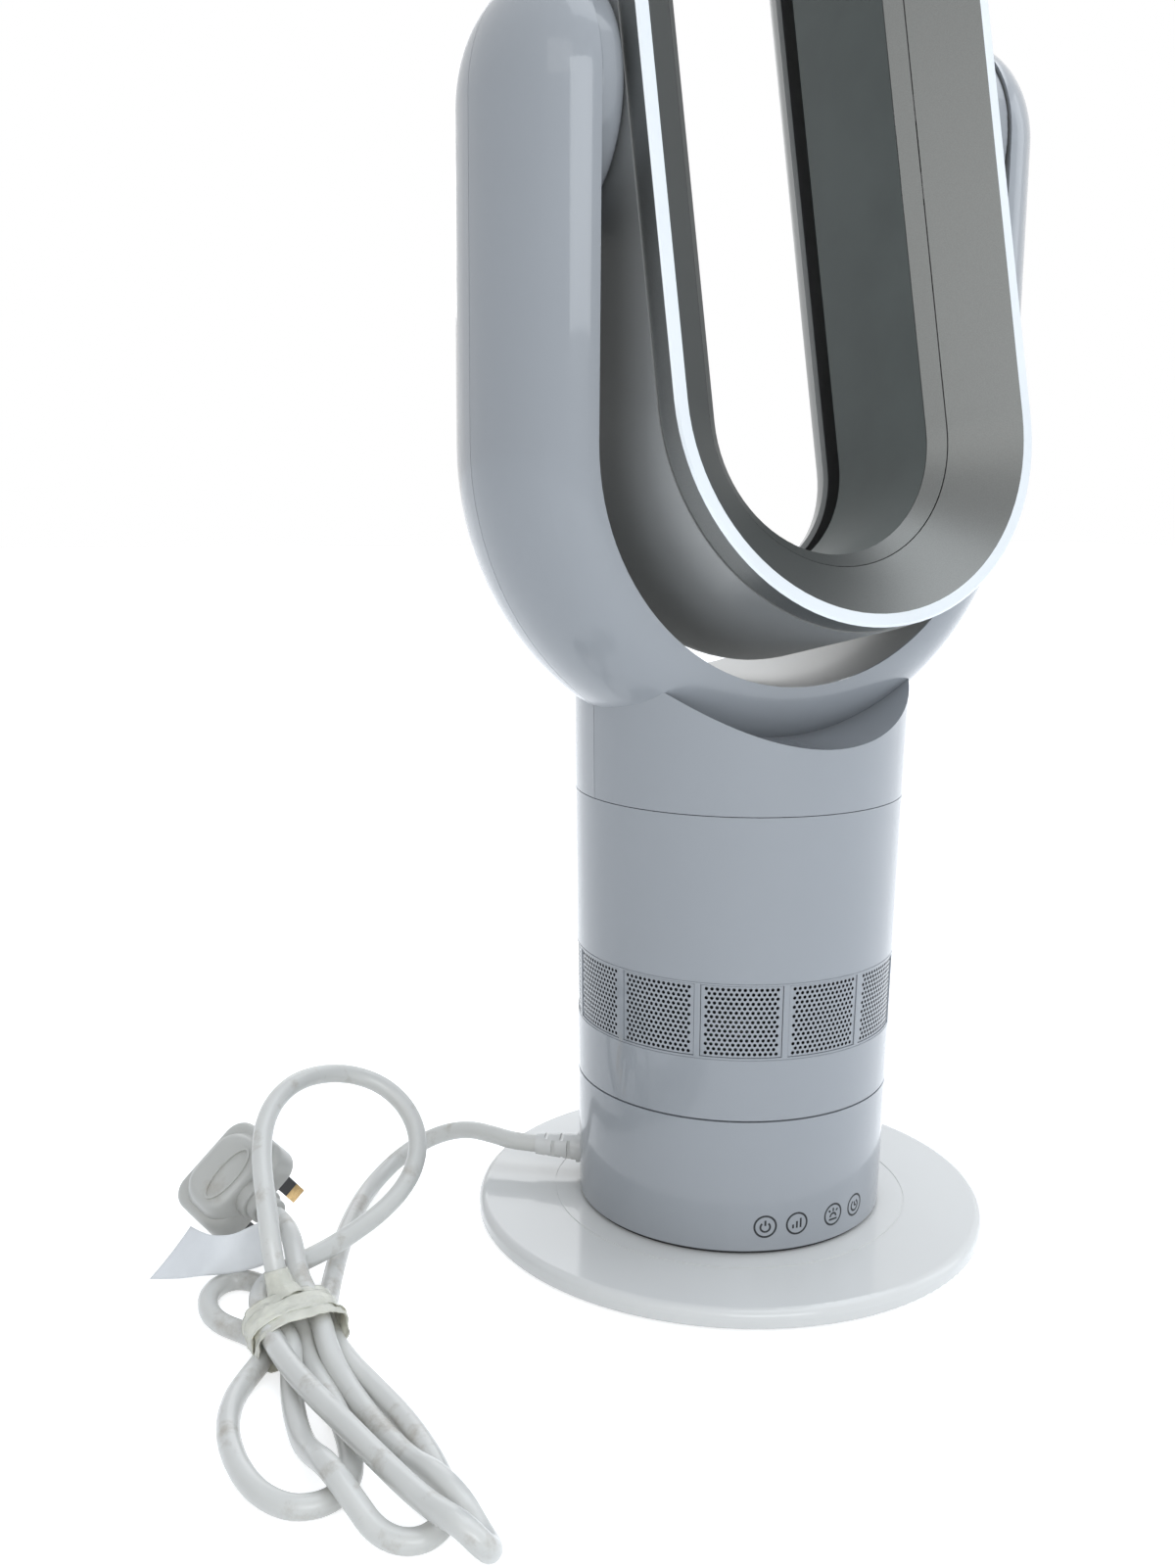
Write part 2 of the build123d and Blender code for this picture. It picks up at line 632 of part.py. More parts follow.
def grille_panels():
    """One perforated panel, bored once and then copied round the column."""
    wedge = window(0, PANEL_ANGLE, GRILLE_BOTTOM, GRILLE_TOP, 0)
    panel = wedge & (facetted(PANEL_RECESS) - facetted(PANEL_RECESS + PANEL_THICK))
    panel = panel.solids()[0]
    middle_z = (GRILLE_BOTTOM + GRILLE_TOP) / 2
    radius = column_radius(middle_z)
    hole = Plane.YZ * extrude(RegularPolygon(HOLE_R, HOLE_SIDES), 2 * PANEL_THICK + 4)
    holes = []
    for row in range(HOLE_ROWS):
        count = HOLES_LONG_ROW - row % 2
        z = middle_z + (row - (HOLE_ROWS - 1) / 2) * HOLE_ROW_PITCH
        for k in range(count):
            turn = degrees((k - (count - 1) / 2) * HOLE_PITCH / radius) - 90
            holes.append(Rot(0, 0, turn) * Pos(radius - 2 * PANEL_THICK, 0, z) * hole)
    panel = panel - holes
    panel = panel.solids()[0]
    save("grille_panels", *[Rot(0, 0, 360 / PANEL_COUNT * i) * panel for i in range(PANEL_COUNT)])


def grille_frame():
    """Ring behind the panels, which holds them in their windows."""
    inset = PANEL_RECESS + PANEL_THICK
    inset = max(PANEL_RECESS + PANEL_THICK, WALL) + 0.05
    ring = flared_shell(GRILLE_BOTTOM - 3.4, GRILLE_TOP + 3.4, inset, inset + 1.8)
    for i in range(PANEL_COUNT):
        ring -= window(i, PANEL_ANGLE - 2.4, GRILLE_BOTTOM + 1.0, GRILLE_TOP - 1.0, 0)
    save("grille_frame", ring)


def column_screws():
    screws = []
    for x, y in ring_of(4, TAB_RING_R, 45.0):
        shank = disc(SMALL_SCREW_R, RIM_TOP - 4, LEDGE_TOP, x, y)
        screws.append(shank + disc(2.5, LEDGE_TOP, LEDGE_TOP + 1.6, x, y))
    for x, y in GEAR_SCREWS:
        screws.append(disc(1.0, PINION_BOTTOM + 1.2, TURNTABLE_TOP - 1.1, x, y))
    for x, y in ring_of(3, BELL_SCREW_R, 30.0):
        shank = disc(SMALL_SCREW_R, BELL_Z - 2.4, BELL_Z + 3, x, y)
        screws.append(shank + disc(2.5, BELL_Z + 3, BELL_Z + 4.6, x, y))
    save("column_screws", *screws)


# ---------------------------------------------------------------- blower

def spun(outline):
    """Turn a closed outline, drawn as radius and height, about the vertical axis."""
    return revolve(Plane.XZ * make_face(outline), Axis.Z, 360)


def blower_housing():
    outer = column_radius(BELL_Z) - WALL - FIT
    r0, r1 = DUCT_R, DUCT_R + DUCT_WALL
    z0, z1 = BELL_Z, BELL_Z + BELL_R
    inward = BELL_R * (1 - cos(radians(45)))
    small = BELL_R - 3
    mouth = [
        ThreePointArc((r0 + BELL_R, z0), (r0 + inward, z0 + inward), (r0, z1)),
        Polyline((r0, z1), (r0, DUCT_TOP), (r1, DUCT_TOP), (r1, z0 + 3 + small)),
        ThreePointArc((r1, z0 + 3 + small), (r1 + small * 0.293, z0 + 3 + small * 0.293),
                      (r1 + small, z0 + 3)),
        Polyline((r1 + small, z0 + 3), (outer, z0 + 3), (outer, z0), (r0 + BELL_R, z0)),
    ]
    housing = spun(mouth)
    housing += tube(column_radius(DUCT_TOP) - YOKE_WALL - FIT, DUCT_R, DUCT_TOP - 3, DUCT_TOP)
    # the air leaves upwards through the middle, past the ring that closes the space round the duct
    for x, y in ring_of(3, BELL_SCREW_R, 30.0):
        housing -= disc(SMALL_SCREW_R + FIT, BELL_Z - 1, BELL_Z + 5, x, y)
    housing -= disc(LEAD_R + 1.2, BELL_Z - 1, BELL_Z + 5, *LEAD_HOLE)
    housing -= along_x(LEAD_R + FIT, DUCT_R - 1, DUCT_R + DUCT_WALL + 1, 0, LEAD_ENTRY_Z)
    save("blower_housing", housing)


BELL_SCREW_R = FOOT_RADIUS - 4.6
LEAD_R = 1.6
LEAD_HOLE = (DUCT_R + BELL_R + 3.6, 0.0)
LEAD_ENTRY_Z = (STATOR_BOTTOM + STATOR_TOP) / 2


def motor_lead():
    """Lead from the driver board up past the duct and in to the motor's ring of vanes."""
    start = (20.0, 0.0, DRIVER_Z + 7.6)
    path = FilletPolyline(start, (20, 0, DRIVER_Z + 20), (LEAD_HOLE[0], 0, BELL_Z - 16),
                          (LEAD_HOLE[0], 0, LEAD_ENTRY_Z), (DUCT_R - 1.4, 0, LEAD_ENTRY_Z), radius=5)
    profile = Plane(origin=start, z_dir=(0, 0, 1)) * Circle(LEAD_R)
    save("motor_lead", sweep(profile, path=path))


def stator_vanes():
    """Hub and straightening vanes that hold the motor in the duct."""
    hub = tube(HUB_OUTER, HUB_INNER, STATOR_BOTTOM, STATOR_TOP)
    hub += tube(DUCT_R, DUCT_R - 1.4, STATOR_BOTTOM + 2, STATOR_TOP - 3)
    for i in range(VANE_COUNT):
        middle = Pos((HUB_OUTER + DUCT_R - 1.4) / 2, 0, (STATOR_BOTTOM + STATOR_TOP) / 2)
        vane = middle * Rot(18, 0, 0) * Box(DUCT_R - HUB_OUTER - 0.4, 1.4, 23)
        hub += Rot(0, 0, 360 / VANE_COUNT * i) * vane
    hub -= along_x(LEAD_R + FIT, DUCT_R - 3, DUCT_R + 1, 0, LEAD_ENTRY_Z)
    cap = disc(HUB_OUTER, STATOR_TOP, STATOR_TOP + 6)
    hub += fillet(cap.edges().sort_by(Axis.Z)[-1], 4.5)
    save("stator_vanes", hub)


def blower_motor():
    can = disc(MOTOR_CAN_R, STATOR_BOTTOM + 2, STATOR_TOP - 1.5)
    can = fillet(can.edges().sort_by(Axis.Z)[-1], 1.5)
    can -= disc(ROTOR_SHAFT_R + 1.0, STATOR_BOTTOM, STATOR_TOP - 4)
    can -= disc(6.5, STATOR_BOTTOM, STATOR_BOTTOM + 6)
    can -= disc(6.5, STATOR_TOP - 8, STATOR_TOP - 4)
    save("blower_motor", can)


def motor_mounts():
    rings = [tube(HUB_INNER, MOTOR_CAN_R, z, z + 5) for z in (STATOR_BOTTOM + 3, STATOR_TOP - 9)]
    save("motor_mounts", *rings)


def motor_bearings():
    bore = ROTOR_SHAFT_R + RUN
    rings = [tube(6.5, bore, z, z + 4) for z in (STATOR_BOTTOM + 2, STATOR_TOP - 8)]
    save("motor_bearings", *rings)


def impeller():
    """Mixed-flow wheel: a cone-shaped hub with leaning blades."""
    top = FAN_BOTTOM + FAN_HEIGHT
    tip = DUCT_R - FAN_TIP_GAP
    hub = spun(Polyline((0, FAN_BOTTOM - 2), (7, FAN_BOTTOM - 1), (12, FAN_BOTTOM + 3),
                        (HUB_OUTER, top), (HUB_OUTER, top + 2), (0, top + 2), close=True))
    envelope = spun(Polyline(
        (5, FAN_BOTTOM), (tip, FAN_BOTTOM), (tip, top + 1), (HUB_OUTER - 4, top + 1), close=True))
    wheel = hub
    for i in range(BLADE_COUNT):
        blade = Pos(tip / 2 + 5, 0, (FAN_BOTTOM + top) / 2) * Rot(38, 0, 0) * Box(tip, 1.6, 2 * FAN_HEIGHT)
        wheel += Rot(0, 0, 360 / BLADE_COUNT * i) * (blade & envelope)
    wheel -= disc(ROTOR_SHAFT_R, FAN_BOTTOM + 2, top + 5)
    save("impeller", wheel)


def rotor_shaft():
    save("rotor_shaft", disc(ROTOR_SHAFT_R, FAN_BOTTOM + 2, STATOR_TOP - 4.3))


# ---------------------------------------------------------------- yoke

def arm_section(inset):
    """Half ellipse, flat on the inner face, as a face in the X-Y plane."""
    a, b = ARM_THICK - inset, ARM_HALF_DEPTH - inset
    arc = EllipticalCenterArc((YOKE_INNER, 0), a, b, -90, arc_size=180)
    return make_face([arc, Line(arc @ 1, arc @ 0)])


def bent_round(face):
    """Carry a section on the +X side down round the bottom of the U to the -X side."""
    return revolve(Pos(0, 0, BEND_Z) * face, Axis((0, 0, BEND_Z), (0, 1, 0)), 180)


def yoke_solid(inset):
    section = arm_section(inset)
    bend = bent_round(section)
    arm = extrude(Pos(0, 0, BEND_Z) * section, PIVOT_Z - BEND_Z)
    a, b = ARM_THICK - inset, ARM_HALF_DEPTH - inset
    quarter = EllipticalCenterArc((YOKE_INNER, 0), a, b, 0, arc_size=90)
    corner = (YOKE_INNER, 0)
    half = make_face([quarter, Line(quarter @ 1, corner), Line(corner, quarter @ 0)])
    tip = revolve(Pos(0, 0, PIVOT_Z) * half, Axis((0, 0, PIVOT_Z), (1, 0, 0)), 180)
    side = arm + tip
    return bend + side + mirror(side, Plane.YZ)


def column_head(inset, z0):
    """Top of the column, scooped out along the saddle."""
    scoop = along_y(SCOOP_R + inset, -2 * FOOT_RADIUS, 2 * FOOT_RADIUS, 0, SCOOP_Z)
    return flared(z0, SCOOP_Z - SCOOP_R / 3, inset) - scoop


def liner_band(grow):
    """The flat band that closes the inside of the U."""
    r0, r1 = YOKE_INNER - (1 if grow else 0), YOKE_INNER + LINER_THICK + grow
    half = ARM_HALF_DEPTH - LINER_MARGIN + grow
    section = make_face(Polyline((r0, -half), (r1, -half), (r1, half), (r0, half), close=True))
    band = bent_round(section)
    arm = extrude(Pos(0, 0, BEND_Z) * section, PIVOT_Z - BEND_Z) + along_x(half, r0, r1, 0, PIVOT_Z)
    return band + arm + mirror(arm, Plane.YZ)


def boss_points():
    """Screw points of the yoke, as places in the X-Z plane."""
    radius = YOKE_INNER + BOSS_IN
    arc = [(radius * cos(radians(a)), BEND_Z - radius * sin(radians(a))) for a in (12.0, 58.0)]
    right = arc + [(radius, (BEND_Z + PIVOT_Z) / 2)]
    return right + [(-x, z) for x, z in right]


def yoke_shells():
    outside = yoke_solid(0) + column_head(0, UPPER_SEAM_Z)
    inside = yoke_solid(YOKE_WALL) + column_head(YOKE_WALL, UPPER_SEAM_Z - 1)
    hollow = outside - inside
    room = yoke_solid(0.6)
    for x, z in boss_points():
        hollow += along_y(BOSS_R, -90, 90, x, z) & room
    hollow -= liner_band(0.1)
    for x, z in boss_points():
        hollow -= along_y(SMALL_SCREW_R, -16, 1, x, z)
        hollow -= along_y(SMALL_SCREW_R + FIT, -1, 12, x, z)
        hollow -= along_y(3.2, 10, 90, x, z)
    far = 2 * (YOKE_INNER + ARM_THICK)
    front = hollow & block(-far, far, -far, -YOKE_SEAM / 2, 0, 2 * PIVOT_Z)
    rear = hollow & block(-far, far, YOKE_SEAM / 2, far, 0, 2 * PIVOT_Z)
    save("yoke_front_shell", front)
    save("yoke_rear_shell", rear)


def yoke_screws():
    screws = []
    for x, z in boss_points():
        screws.append(along_y(SMALL_SCREW_R, -14, 10, x, z) + along_y(2.8, 10, 12, x, z))
    save("yoke_screws", *screws)


def yoke_liner():
    band = liner_band(0)
    x0, x1 = YOKE_INNER + LINER_THICK, YOKE_INNER + BUSH_LENGTH
    seat = BUSH_R + 0.1
    collar = along_x(seat + 4.4, x0 - 1, x1, 0, PIVOT_Z)
    for part in both_sides(collar):
        band += part
    band -= along_x(seat, -2 * YOKE_INNER, 2 * YOKE_INNER, 0, PIVOT_Z)
    save("yoke_liner", band)


def hub_bushes():
    x0, x1 = YOKE_INNER + 0.3, YOKE_INNER + BUSH_LENGTH
    bush = along_x(BUSH_R, x0, x1, 0, PIVOT_Z) + along_x(BUSH_R + 3, x1, x1 + BUSH_FLANGE, 0, PIVOT_Z)
    bush -= along_x(TRUNNION_R + RUN, x0 - 1, x1 + 3, 0, PIVOT_Z)
    save("hub_bushes", *both_sides(bush))


BUSH_R = TRUNNION_R + BUSH_SEAT_WALL
BUSH_FLANGE = 1.4
WASHER_X = YOKE_INNER + BUSH_LENGTH + BUSH_FLANGE
CLIP_X = WASHER_X + 1.0


# ---------------------------------------------------------------- air loop

def tilted(shape):
    """From the loop's own frame, origin at the pivot and +Y to the rear, to its leaning rest pose."""
    return Pos(0, 0, PIVOT_Z) * Rot(-TILT, 0, 0) * shape


def at(width, depth):
    """A point of the loop's section: half width, and depth behind the front rim."""
    return (width, depth - PIVOT_DEPTH)


def oval(section):
    """Carry a section round the loop: two straight sides and two round ends."""
    length = LOOP_HALF_LENGTH
    side = extrude(Pos(0, 0, -length) * section, 2 * length)
    top = revolve(Pos(0, 0, length) * section, Axis((0, 0, length), (0, 1, 0)), -180)
    low = revolve(Pos(0, 0, -length) * section, Axis((0, 0, -length), (0, 1, 0)), 180)
    return side + top + low + mirror(side, Plane.YZ)


def loop_front_ring():
    """Bright lip, funnel-shaped face and side band."""
    t = LOOP_WALL
    lip_r = LOOP_R - LIP_WIDTH
    lean = atan2(lip_r - FUNNEL_R, FUNNEL_DEPTH)
    back = (t * cos(lean), t * sin(lean))
    tongue_r = SHELL_R - LOOP_WALL - FIT
    tongue_end = LIP_BAND + TONGUE_DEPTH
    section = make_face(Polyline(
        at(lip_r, 0.0), at(LOOP_R - 0.8, 0.0), at(LOOP_R, 0.8), at(LOOP_R, LIP_BAND),
        at(tongue_r, LIP_BAND), at(tongue_r, tongue_end), at(tongue_r - TONGUE_WALL, tongue_end),
        at(tongue_r - TONGUE_WALL, t + 0.6), at(lip_r, t + 0.6),
        at(FUNNEL_R + back[0], FUNNEL_DEPTH + back[1]), at(FUNNEL_R, FUNNEL_DEPTH), close=True))
    save("loop_front_ring", tilted(oval(section)))


def loop_inner_bezel():
    t = LOOP_WALL * 0.7
    gap = PART_GAP
    section = make_face(Polyline(
        at(FUNNEL_R - gap, FUNNEL_DEPTH + gap), at(BEZEL_R, BEZEL_DEPTH), at(BEZEL_R + t, BEZEL_DEPTH + t),
        at(FUNNEL_R + t, FUNNEL_DEPTH + 1.6 * t), close=True))
    save("loop_inner_bezel", tilted(oval(section)))


def loop_inner_wall():
    """Curved guide along which the air leaves, from the slot to the bezel."""
    t = LOOP_WALL
    front, rear = at(BEZEL_R, BEZEL_DEPTH + PART_GAP), at(THROAT_R, THROAT_DEPTH)
    middle = at((BEZEL_R + THROAT_R) / 2 - 1.2, (BEZEL_DEPTH + THROAT_DEPTH) / 2 + 7)
    inner = ThreePointArc(front, middle, rear)
    nose = ThreePointArc(rear, (rear[0] + t / 2, rear[1] + t / 2), (rear[0] + t, rear[1]))
    outer = ThreePointArc(nose @ 1, (middle[0] + t, middle[1]), (front[0] + t, front[1] + t + 0.2))
    section = make_face([inner, nose, outer, Line(outer @ 1, front)])
    wall = oval(section)
    # struts that hold the wall inside the loop
    rib_r0, rib_r1 = THROAT_R + 1.2, SHELL_R - LOOP_WALL - 0.1
    rib_y0, rib_y1 = at(0, THROAT_DEPTH - 9)[1], at(0, THROAT_DEPTH - 2)[1]
    for share in (-0.9, -0.35, 0.35, 0.9):
        z = share * LOOP_HALF_LENGTH
        rib = block(rib_r0, rib_r1, rib_y0, rib_y1, z - 1.2, z + 1.2)
        for part in both_sides(rib):
            wall += part
    save("loop_inner_wall", tilted(wall))


def loop_rear_shell():
    """Outer skin of the loop, which turns round the back and ends in the lip behind the air slot."""
    t = LOOP_WALL
    start = at(SHELL_R, LIP_BAND + PART_GAP)
    turn = at(SHELL_R, LOOP_DEPTH - REAR_ROUND)
    crown = at(SHELL_R - REAR_ROUND, LOOP_DEPTH)
    lip = at(REAR_LIP_R, REAR_LIP_DEPTH)
    s = REAR_ROUND * (1 - cos(radians(45)))
    corner = ThreePointArc(turn, (SHELL_R - s, crown[1] - s), crown)
    inward = ThreePointArc(crown, at(REAR_LIP_R + 6.3, LOOP_DEPTH - 2.7), lip)
    back = ThreePointArc(at(REAR_LIP_R + t, REAR_LIP_DEPTH - 0.3), at(REAR_LIP_R + 7.6, LOOP_DEPTH - 5.2),
                         at(SHELL_R - REAR_ROUND, LOOP_DEPTH - t))
    s2 = (REAR_ROUND - t) * (1 - cos(radians(45)))
    inner = ThreePointArc(back @ 1, (SHELL_R - t - s2, crown[1] - t - s2), (SHELL_R - t, turn[1]))
    section = make_face([
        Line(start, turn), corner, inward, Line(lip, back @ 0), back, inner,
        Polyline(inner @ 1, (SHELL_R - t, start[1]), start)])
    shell = oval(section)
    shell -= along_x(TRUNNION_R + 0.1, -2 * SHELL_R, 2 * SHELL_R)
    for y, z in HUB_SCREWS:
        shell -= along_x(1.1 + FIT, -2 * SHELL_R, 2 * SHELL_R, y, z)
    save("loop_rear_shell", tilted(shell))


HUB_SCREWS = ring_of(3, (TRUNNION_R + HUB_FLANGE_R) / 2, 90.0)


def hub_domes():
    """Round covers between the loop and the arms; the trunnions pass through them."""
    x0, x1 = SHELL_R + 0.1, YOKE_INNER - DOME_GAP
    dome = along_x(DOME_R, x0, x1)
    dome = fillet(dome.edges().sort_by(Axis.X)[0], 4.6)
    dome = fillet(dome.edges().sort_by(Axis.X)[-1], 0.7)
    dome -= along_x(TRUNNION_R + 0.05, x0 - 1, x1 + 1)
    for y, z in HUB_SCREWS:
        dome -= along_x(1.1, x0 - 1, x0 + 6, y, z)
    save("hub_domes", *[tilted(part) for part in both_sides(dome)])


def trunnions():
    """Hollow pivots: the air passes from the arms into the loop through them."""
    x0 = SHELL_R - LOOP_WALL - 0.1
    pivot = along_x(TRUNNION_R, x0 - 2.2, CLIP_X + 4.4)
    pivot += along_x(HUB_FLANGE_R, x0 - 2.2, x0)
    pivot -= along_x(TRUNNION_BORE, 0, 2 * YOKE_INNER)
    pivot -= along_x(TRUNNION_R + 2, CLIP_X, CLIP_X + 1.6) - along_x(TRUNNION_R - 1.0, CLIP_X - 1, CLIP_X + 3)
    for y, z in HUB_SCREWS:
        pivot -= along_x(1.1 + FIT, x0 - 4, x0 + 1, y, z)
    save("trunnions", *[tilted(part) for part in both_sides(pivot)])


def trunnion_clips():
    clip = (along_x(TRUNNION_R + 3.6, CLIP_X + 0.1, CLIP_X + 1.5)
            - along_x(TRUNNION_R - 0.9, CLIP_X - 1, CLIP_X + 3))
    clip -= block(CLIP_X - 1, CLIP_X + 3, -3.5, 3.5, 5, 30)
    save("trunnion_clips", *[tilted(part) for part in both_sides(clip)])


def tilt_washers():
    """Friction washers between the bushes and the clips; they hold the loop at its angle."""
    x0, x1 = WASHER_X + 0.05, CLIP_X + 0.05
    washer = along_x(TRUNNION_R + 3.2, x0, x1) - along_x(TRUNNION_R + 0.1, 0, 2 * YOKE_INNER)
    save("tilt_washers", *[tilted(part) for part in both_sides(washer)])


def hub_screws():
    x0 = SHELL_R - LOOP_WALL - 2.3
    screws = []
    for y, z in HUB_SCREWS:
        screw = along_x(1.1, x0, SHELL_R + 5.6, y, z) + along_x(2.1, x0 - 1.5, x0, y, z)
        screws += [tilted(part) for part in both_sides(screw)]
    save("hub_screws", *screws)


def seal_ring():
    """Foam seal between the duct and the wall of the yoke."""
    outer = column_radius(DUCT_TOP) - YOKE_WALL
    save("duct_seal", tube(outer - 0.4, DUCT_R + 6, DUCT_TOP, DUCT_TOP + 2.5))


# ---------------------------------------------------------------- mains lead

def gland_axis(z=GLAND_Z):
    return Pos(0, 0, z) * Rot(0, 0, GLAND_AZIMUTH)


def cord_gland():
    """Moulded strain relief that the lead leaves through."""
    wall_r = column_radius(GLAND_Z)
    flange = along_x(GLAND_FLANGE_R, wall_r - 3, wall_r + 2.0)
    taper = Pos(wall_r + 1.6, 0, 0) * Rot(0, 90, 0) * Cone(
        CORD_R + 1.95, CORD_R + 0.8, GLAND_LENGTH - 1.6, align=(Align.CENTER, Align.CENTER, Align.MIN))
    outside = flange + taper
    for i in range(4):
        x = wall_r + GLAND_LENGTH * (0.27 + 0.17 * i)
        notch = block(x - 0.8, x + 0.8, CORD_R - 0.1, 9, -5, 5)
        quarter = 90 * (i % 2)
        outside -= Rot(quarter, 0, 0) * notch
        outside -= Rot(quarter + 180, 0, 0) * notch
    outside = gland_axis() * outside - flared(FOOT_Z, SEAM_Z)
    neck = gland_axis() * along_x(CORD_R + 1.0, NUT_START + 1, wall_r + 1)
    nut = gland_axis() * along_x(6.6, NUT_START, wall_r - 1) & flared(FOOT_Z, SEAM_Z, WALL)
    save("cord_gland", outside + neck + nut)


CORD_START = column_radius(GLAND_Z) + GLAND_LENGTH
OUT = (cos(radians(GLAND_AZIMUTH)), sin(radians(GLAND_AZIMUTH)))

# The lead runs from the gland over the edge of the plate and along the floor to a bundle, which a band
# of clear tape holds together; one standing loop and one small loop leave the bundle, and the plug's end.
LEAD_ROUTE = [
    (CORD_START * OUT[0], CORD_START * OUT[1], GLAND_Z),
    ((CORD_START + 10) * OUT[0], (CORD_START + 10) * OUT[1], GLAND_Z), (-79.4, 65.9, 20.6),
    (-86.2, 75.5, 20.8), (-94.0, 83.3, 18.0), (-104.0, 87.5, 13.6), (-115.0, 86.0, 9.2),
    (-125.5, 80.0, 6.0), (-135.5, 70.5, 4.3), (-145.0, 57.5, 3.9), (-154.5, 42.0, 3.9),
    (-163.0, 26.0, 3.9), (-171.0, 9.5, 3.9), (-178.0, -6.0, 4.0), (-183.0, -20.0, 4.2)]
LOOP_ROUTE = [
    (-198.0, -20.0, 13.0), (-199.0, -14.5, 19.0), (-199.8, -11.0, 26.5), (-199.6, -7.0, 34.0),
    (-198.0, 1.5, 40.5), (-196.2, 12.0, 46.0), (-193.6, 23.0, 52.0), (-189.0, 34.5, 58.0),
    (-181.0, 46.5, 62.0), (-169.5, 56.8, 64.0), (-156.0, 63.0, 63.0), (-142.5, 65.2, 59.5),
    (-131.0, 61.5, 54.0), (-124.2, 53.0, 46.5), (-123.2, 42.5, 38.5), (-127.6, 32.8, 31.0),
    (-136.3, 25.6, 24.0), (-148.0, 20.8, 18.3), (-160.5, 17.2, 14.4), (-172.5, 13.3, 12.1),
    (-183.5, 9.2, 11.4), (-193.3, 4.6, 11.4), (-201.5, -2.6, 11.5), (-206.0, -12.0, 11.6),
    (-206.8, -20.0, 11.6)]
SIDE_ROUTE = [
    (-206.4, -20.0, 4.0), (-213.0, -15.0, 3.9), (-218.6, -7.0, 3.9), (-220.2, 3.5, 3.9),
    (-217.0, 13.5, 3.9), (-209.5, 19.8, 3.9), (-201.2, 18.0, 3.9), (-196.6, 9.0, 3.9),
    (-196.2, -5.0, 3.9), (-197.4, -20.0, 4.0)]
NECK = (-210.6, -178.6, -42.0, -20.0, 0.2, 17.0)
TIE = (-40.0, -22.0, 0.8)         # from, to and wall of the tape


def arc_radii(points):
    """Corner radii of a laid cord: 0.45 of the shorter run over the tangent of half the turn."""
    radii = []
    for a, b, c in zip(points, points[1:], points[2:]):
        u, v = Vector(*b) - Vector(*a), Vector(*c) - Vector(*b)
        radii.append(0.45 * min(u.length, v.length) / tan(radians(u.get_angle(v)) / 2))
    return radii


def cord_tube(label, points):
    radii = arc_radii(points)
    print(label, "radii", [round(r, 1) for r in radii])
    path = FilletPolyline(*points, radius=radii)
    face = Plane(origin=path @ 0, z_dir=path % 0) * Circle(CORD_R)
    solid = sweep(face, path=path)
    print(label, "length", round(path.length, 1), "volume ratio",
          round(solid.volume / (pi * CORD_R ** 2 * path.length), 4))
    return solid


PLUG_AT = (-188.9, 46.1, 21.6)    # middle between the two lower pins, on the plug's pin face
PLUG_RIGHT = (0.753, 0.107, 0.649)
PLUG_BACK = (-0.546, -0.450, 0.707)


def plug_frame():
    return Plane(origin=PLUG_AT, x_dir=PLUG_RIGHT, z_dir=PLUG_BACK)


def plug_exit(beyond=0.0):
    """End of the plug's strain relief, or a point beyond it along its axis."""
    y = -PLUG_FOOT - BOSS_STEP * len(BOSS_STEPS) - beyond
    point = plug_frame().from_local_coords(Vector(0, y, PLUG_THICK / 2))
    return (point.X, point.Y, point.Z)


TAIL_ROUTE = [plug_exit(), plug_exit(6.5), (-187.2, 7.5, 22.6), (-188.8, -2.0, 19.2), (-190.0, -11.0, 15.6),
              (-190.6, -20.0, 13.0)]


def plug():
    middle = PLUG_LENGTH / 2 - PLUG_FOOT
    pin_face = Pos(0, middle, 0) * RectangleRounded(PLUG_WIDTH, PLUG_LENGTH, PLUG_CORNER)
    body = extrude(pin_face, PLUG_THICK, taper=PLUG_TAPER)
    slope = degrees(atan2(PLUG_SLOPE, PLUG_THICK))
    far_side = Pos(0, PLUG_LENGTH - PLUG_FOOT, 4) * Rot(slope, 0, 0) * block(-40, 40, 0, 30, 0, 60)
    body -= far_side
    body = fillet(body.edges().group_by(Axis.Z)[-1], 3.0)
    for i, radius in enumerate(BOSS_STEPS):
        y1 = -PLUG_FOOT - BOSS_STEP * i + (4 if i == 0 else 0.5)
        body += along_y(radius, -PLUG_FOOT - BOSS_STEP * (i + 1), y1, 0, PLUG_THICK / 2)
    save("plug_body", plug_frame().location * body)
    pins, sleeves = [], []
    for x in (-PIN_GAP, PIN_GAP):
        pins.append(block(x - 3.17, x + 3.17, -2, 2, -PIN_LENGTH, -SLEEVE_LENGTH))
        sleeves.append(block(x - 3.17, x + 3.17, -2, 2, -SLEEVE_LENGTH, 0))
    pins.append(block(-2, 2, EARTH_RISE - 4, EARTH_RISE + 4, -EARTH_LENGTH, 0))
    pins = [chamfer(pin.edges().group_by(Axis.Z)[0], 1.0) for pin in pins]
    save("plug_pins", *[plug_frame().location * pin for pin in pins])
    save("plug_pin_sleeves", *[plug_frame().location * sleeve for sleeve in sleeves])


HANK_OUTLINE = [
    (-209, -41), (-220, -39.5), (-230.5, -52), (-237.3, -69), (-239.3, -91), (-237.4, -107.5), (-231, -119.6),
    (-220.5, -124), (-213.5, -122.5), (-214, -134), (-208.5, -145.5), (-200, -152), (-196, -155),
    (-193.5, -163), (-189, -168), (-185.5, -164), (-184.5, -152), (-182.5, -141), (-178.5, -130),
    (-176.6, -113), (-176.6, -93), (-179, -74), (-181.5, -55), (-180, -41)]
HANK_HOLE = [
    (-221, -49), (-213.5, -62), (-216.5, -75), (-219.2, -92), (-219.6, -108), (-218.5, -114.5), (-224, -112),
    (-229.5, -103.5), (-231.3, -90), (-229.7, -72), (-224.5, -57.5)]
HANK_TOP = 15.0


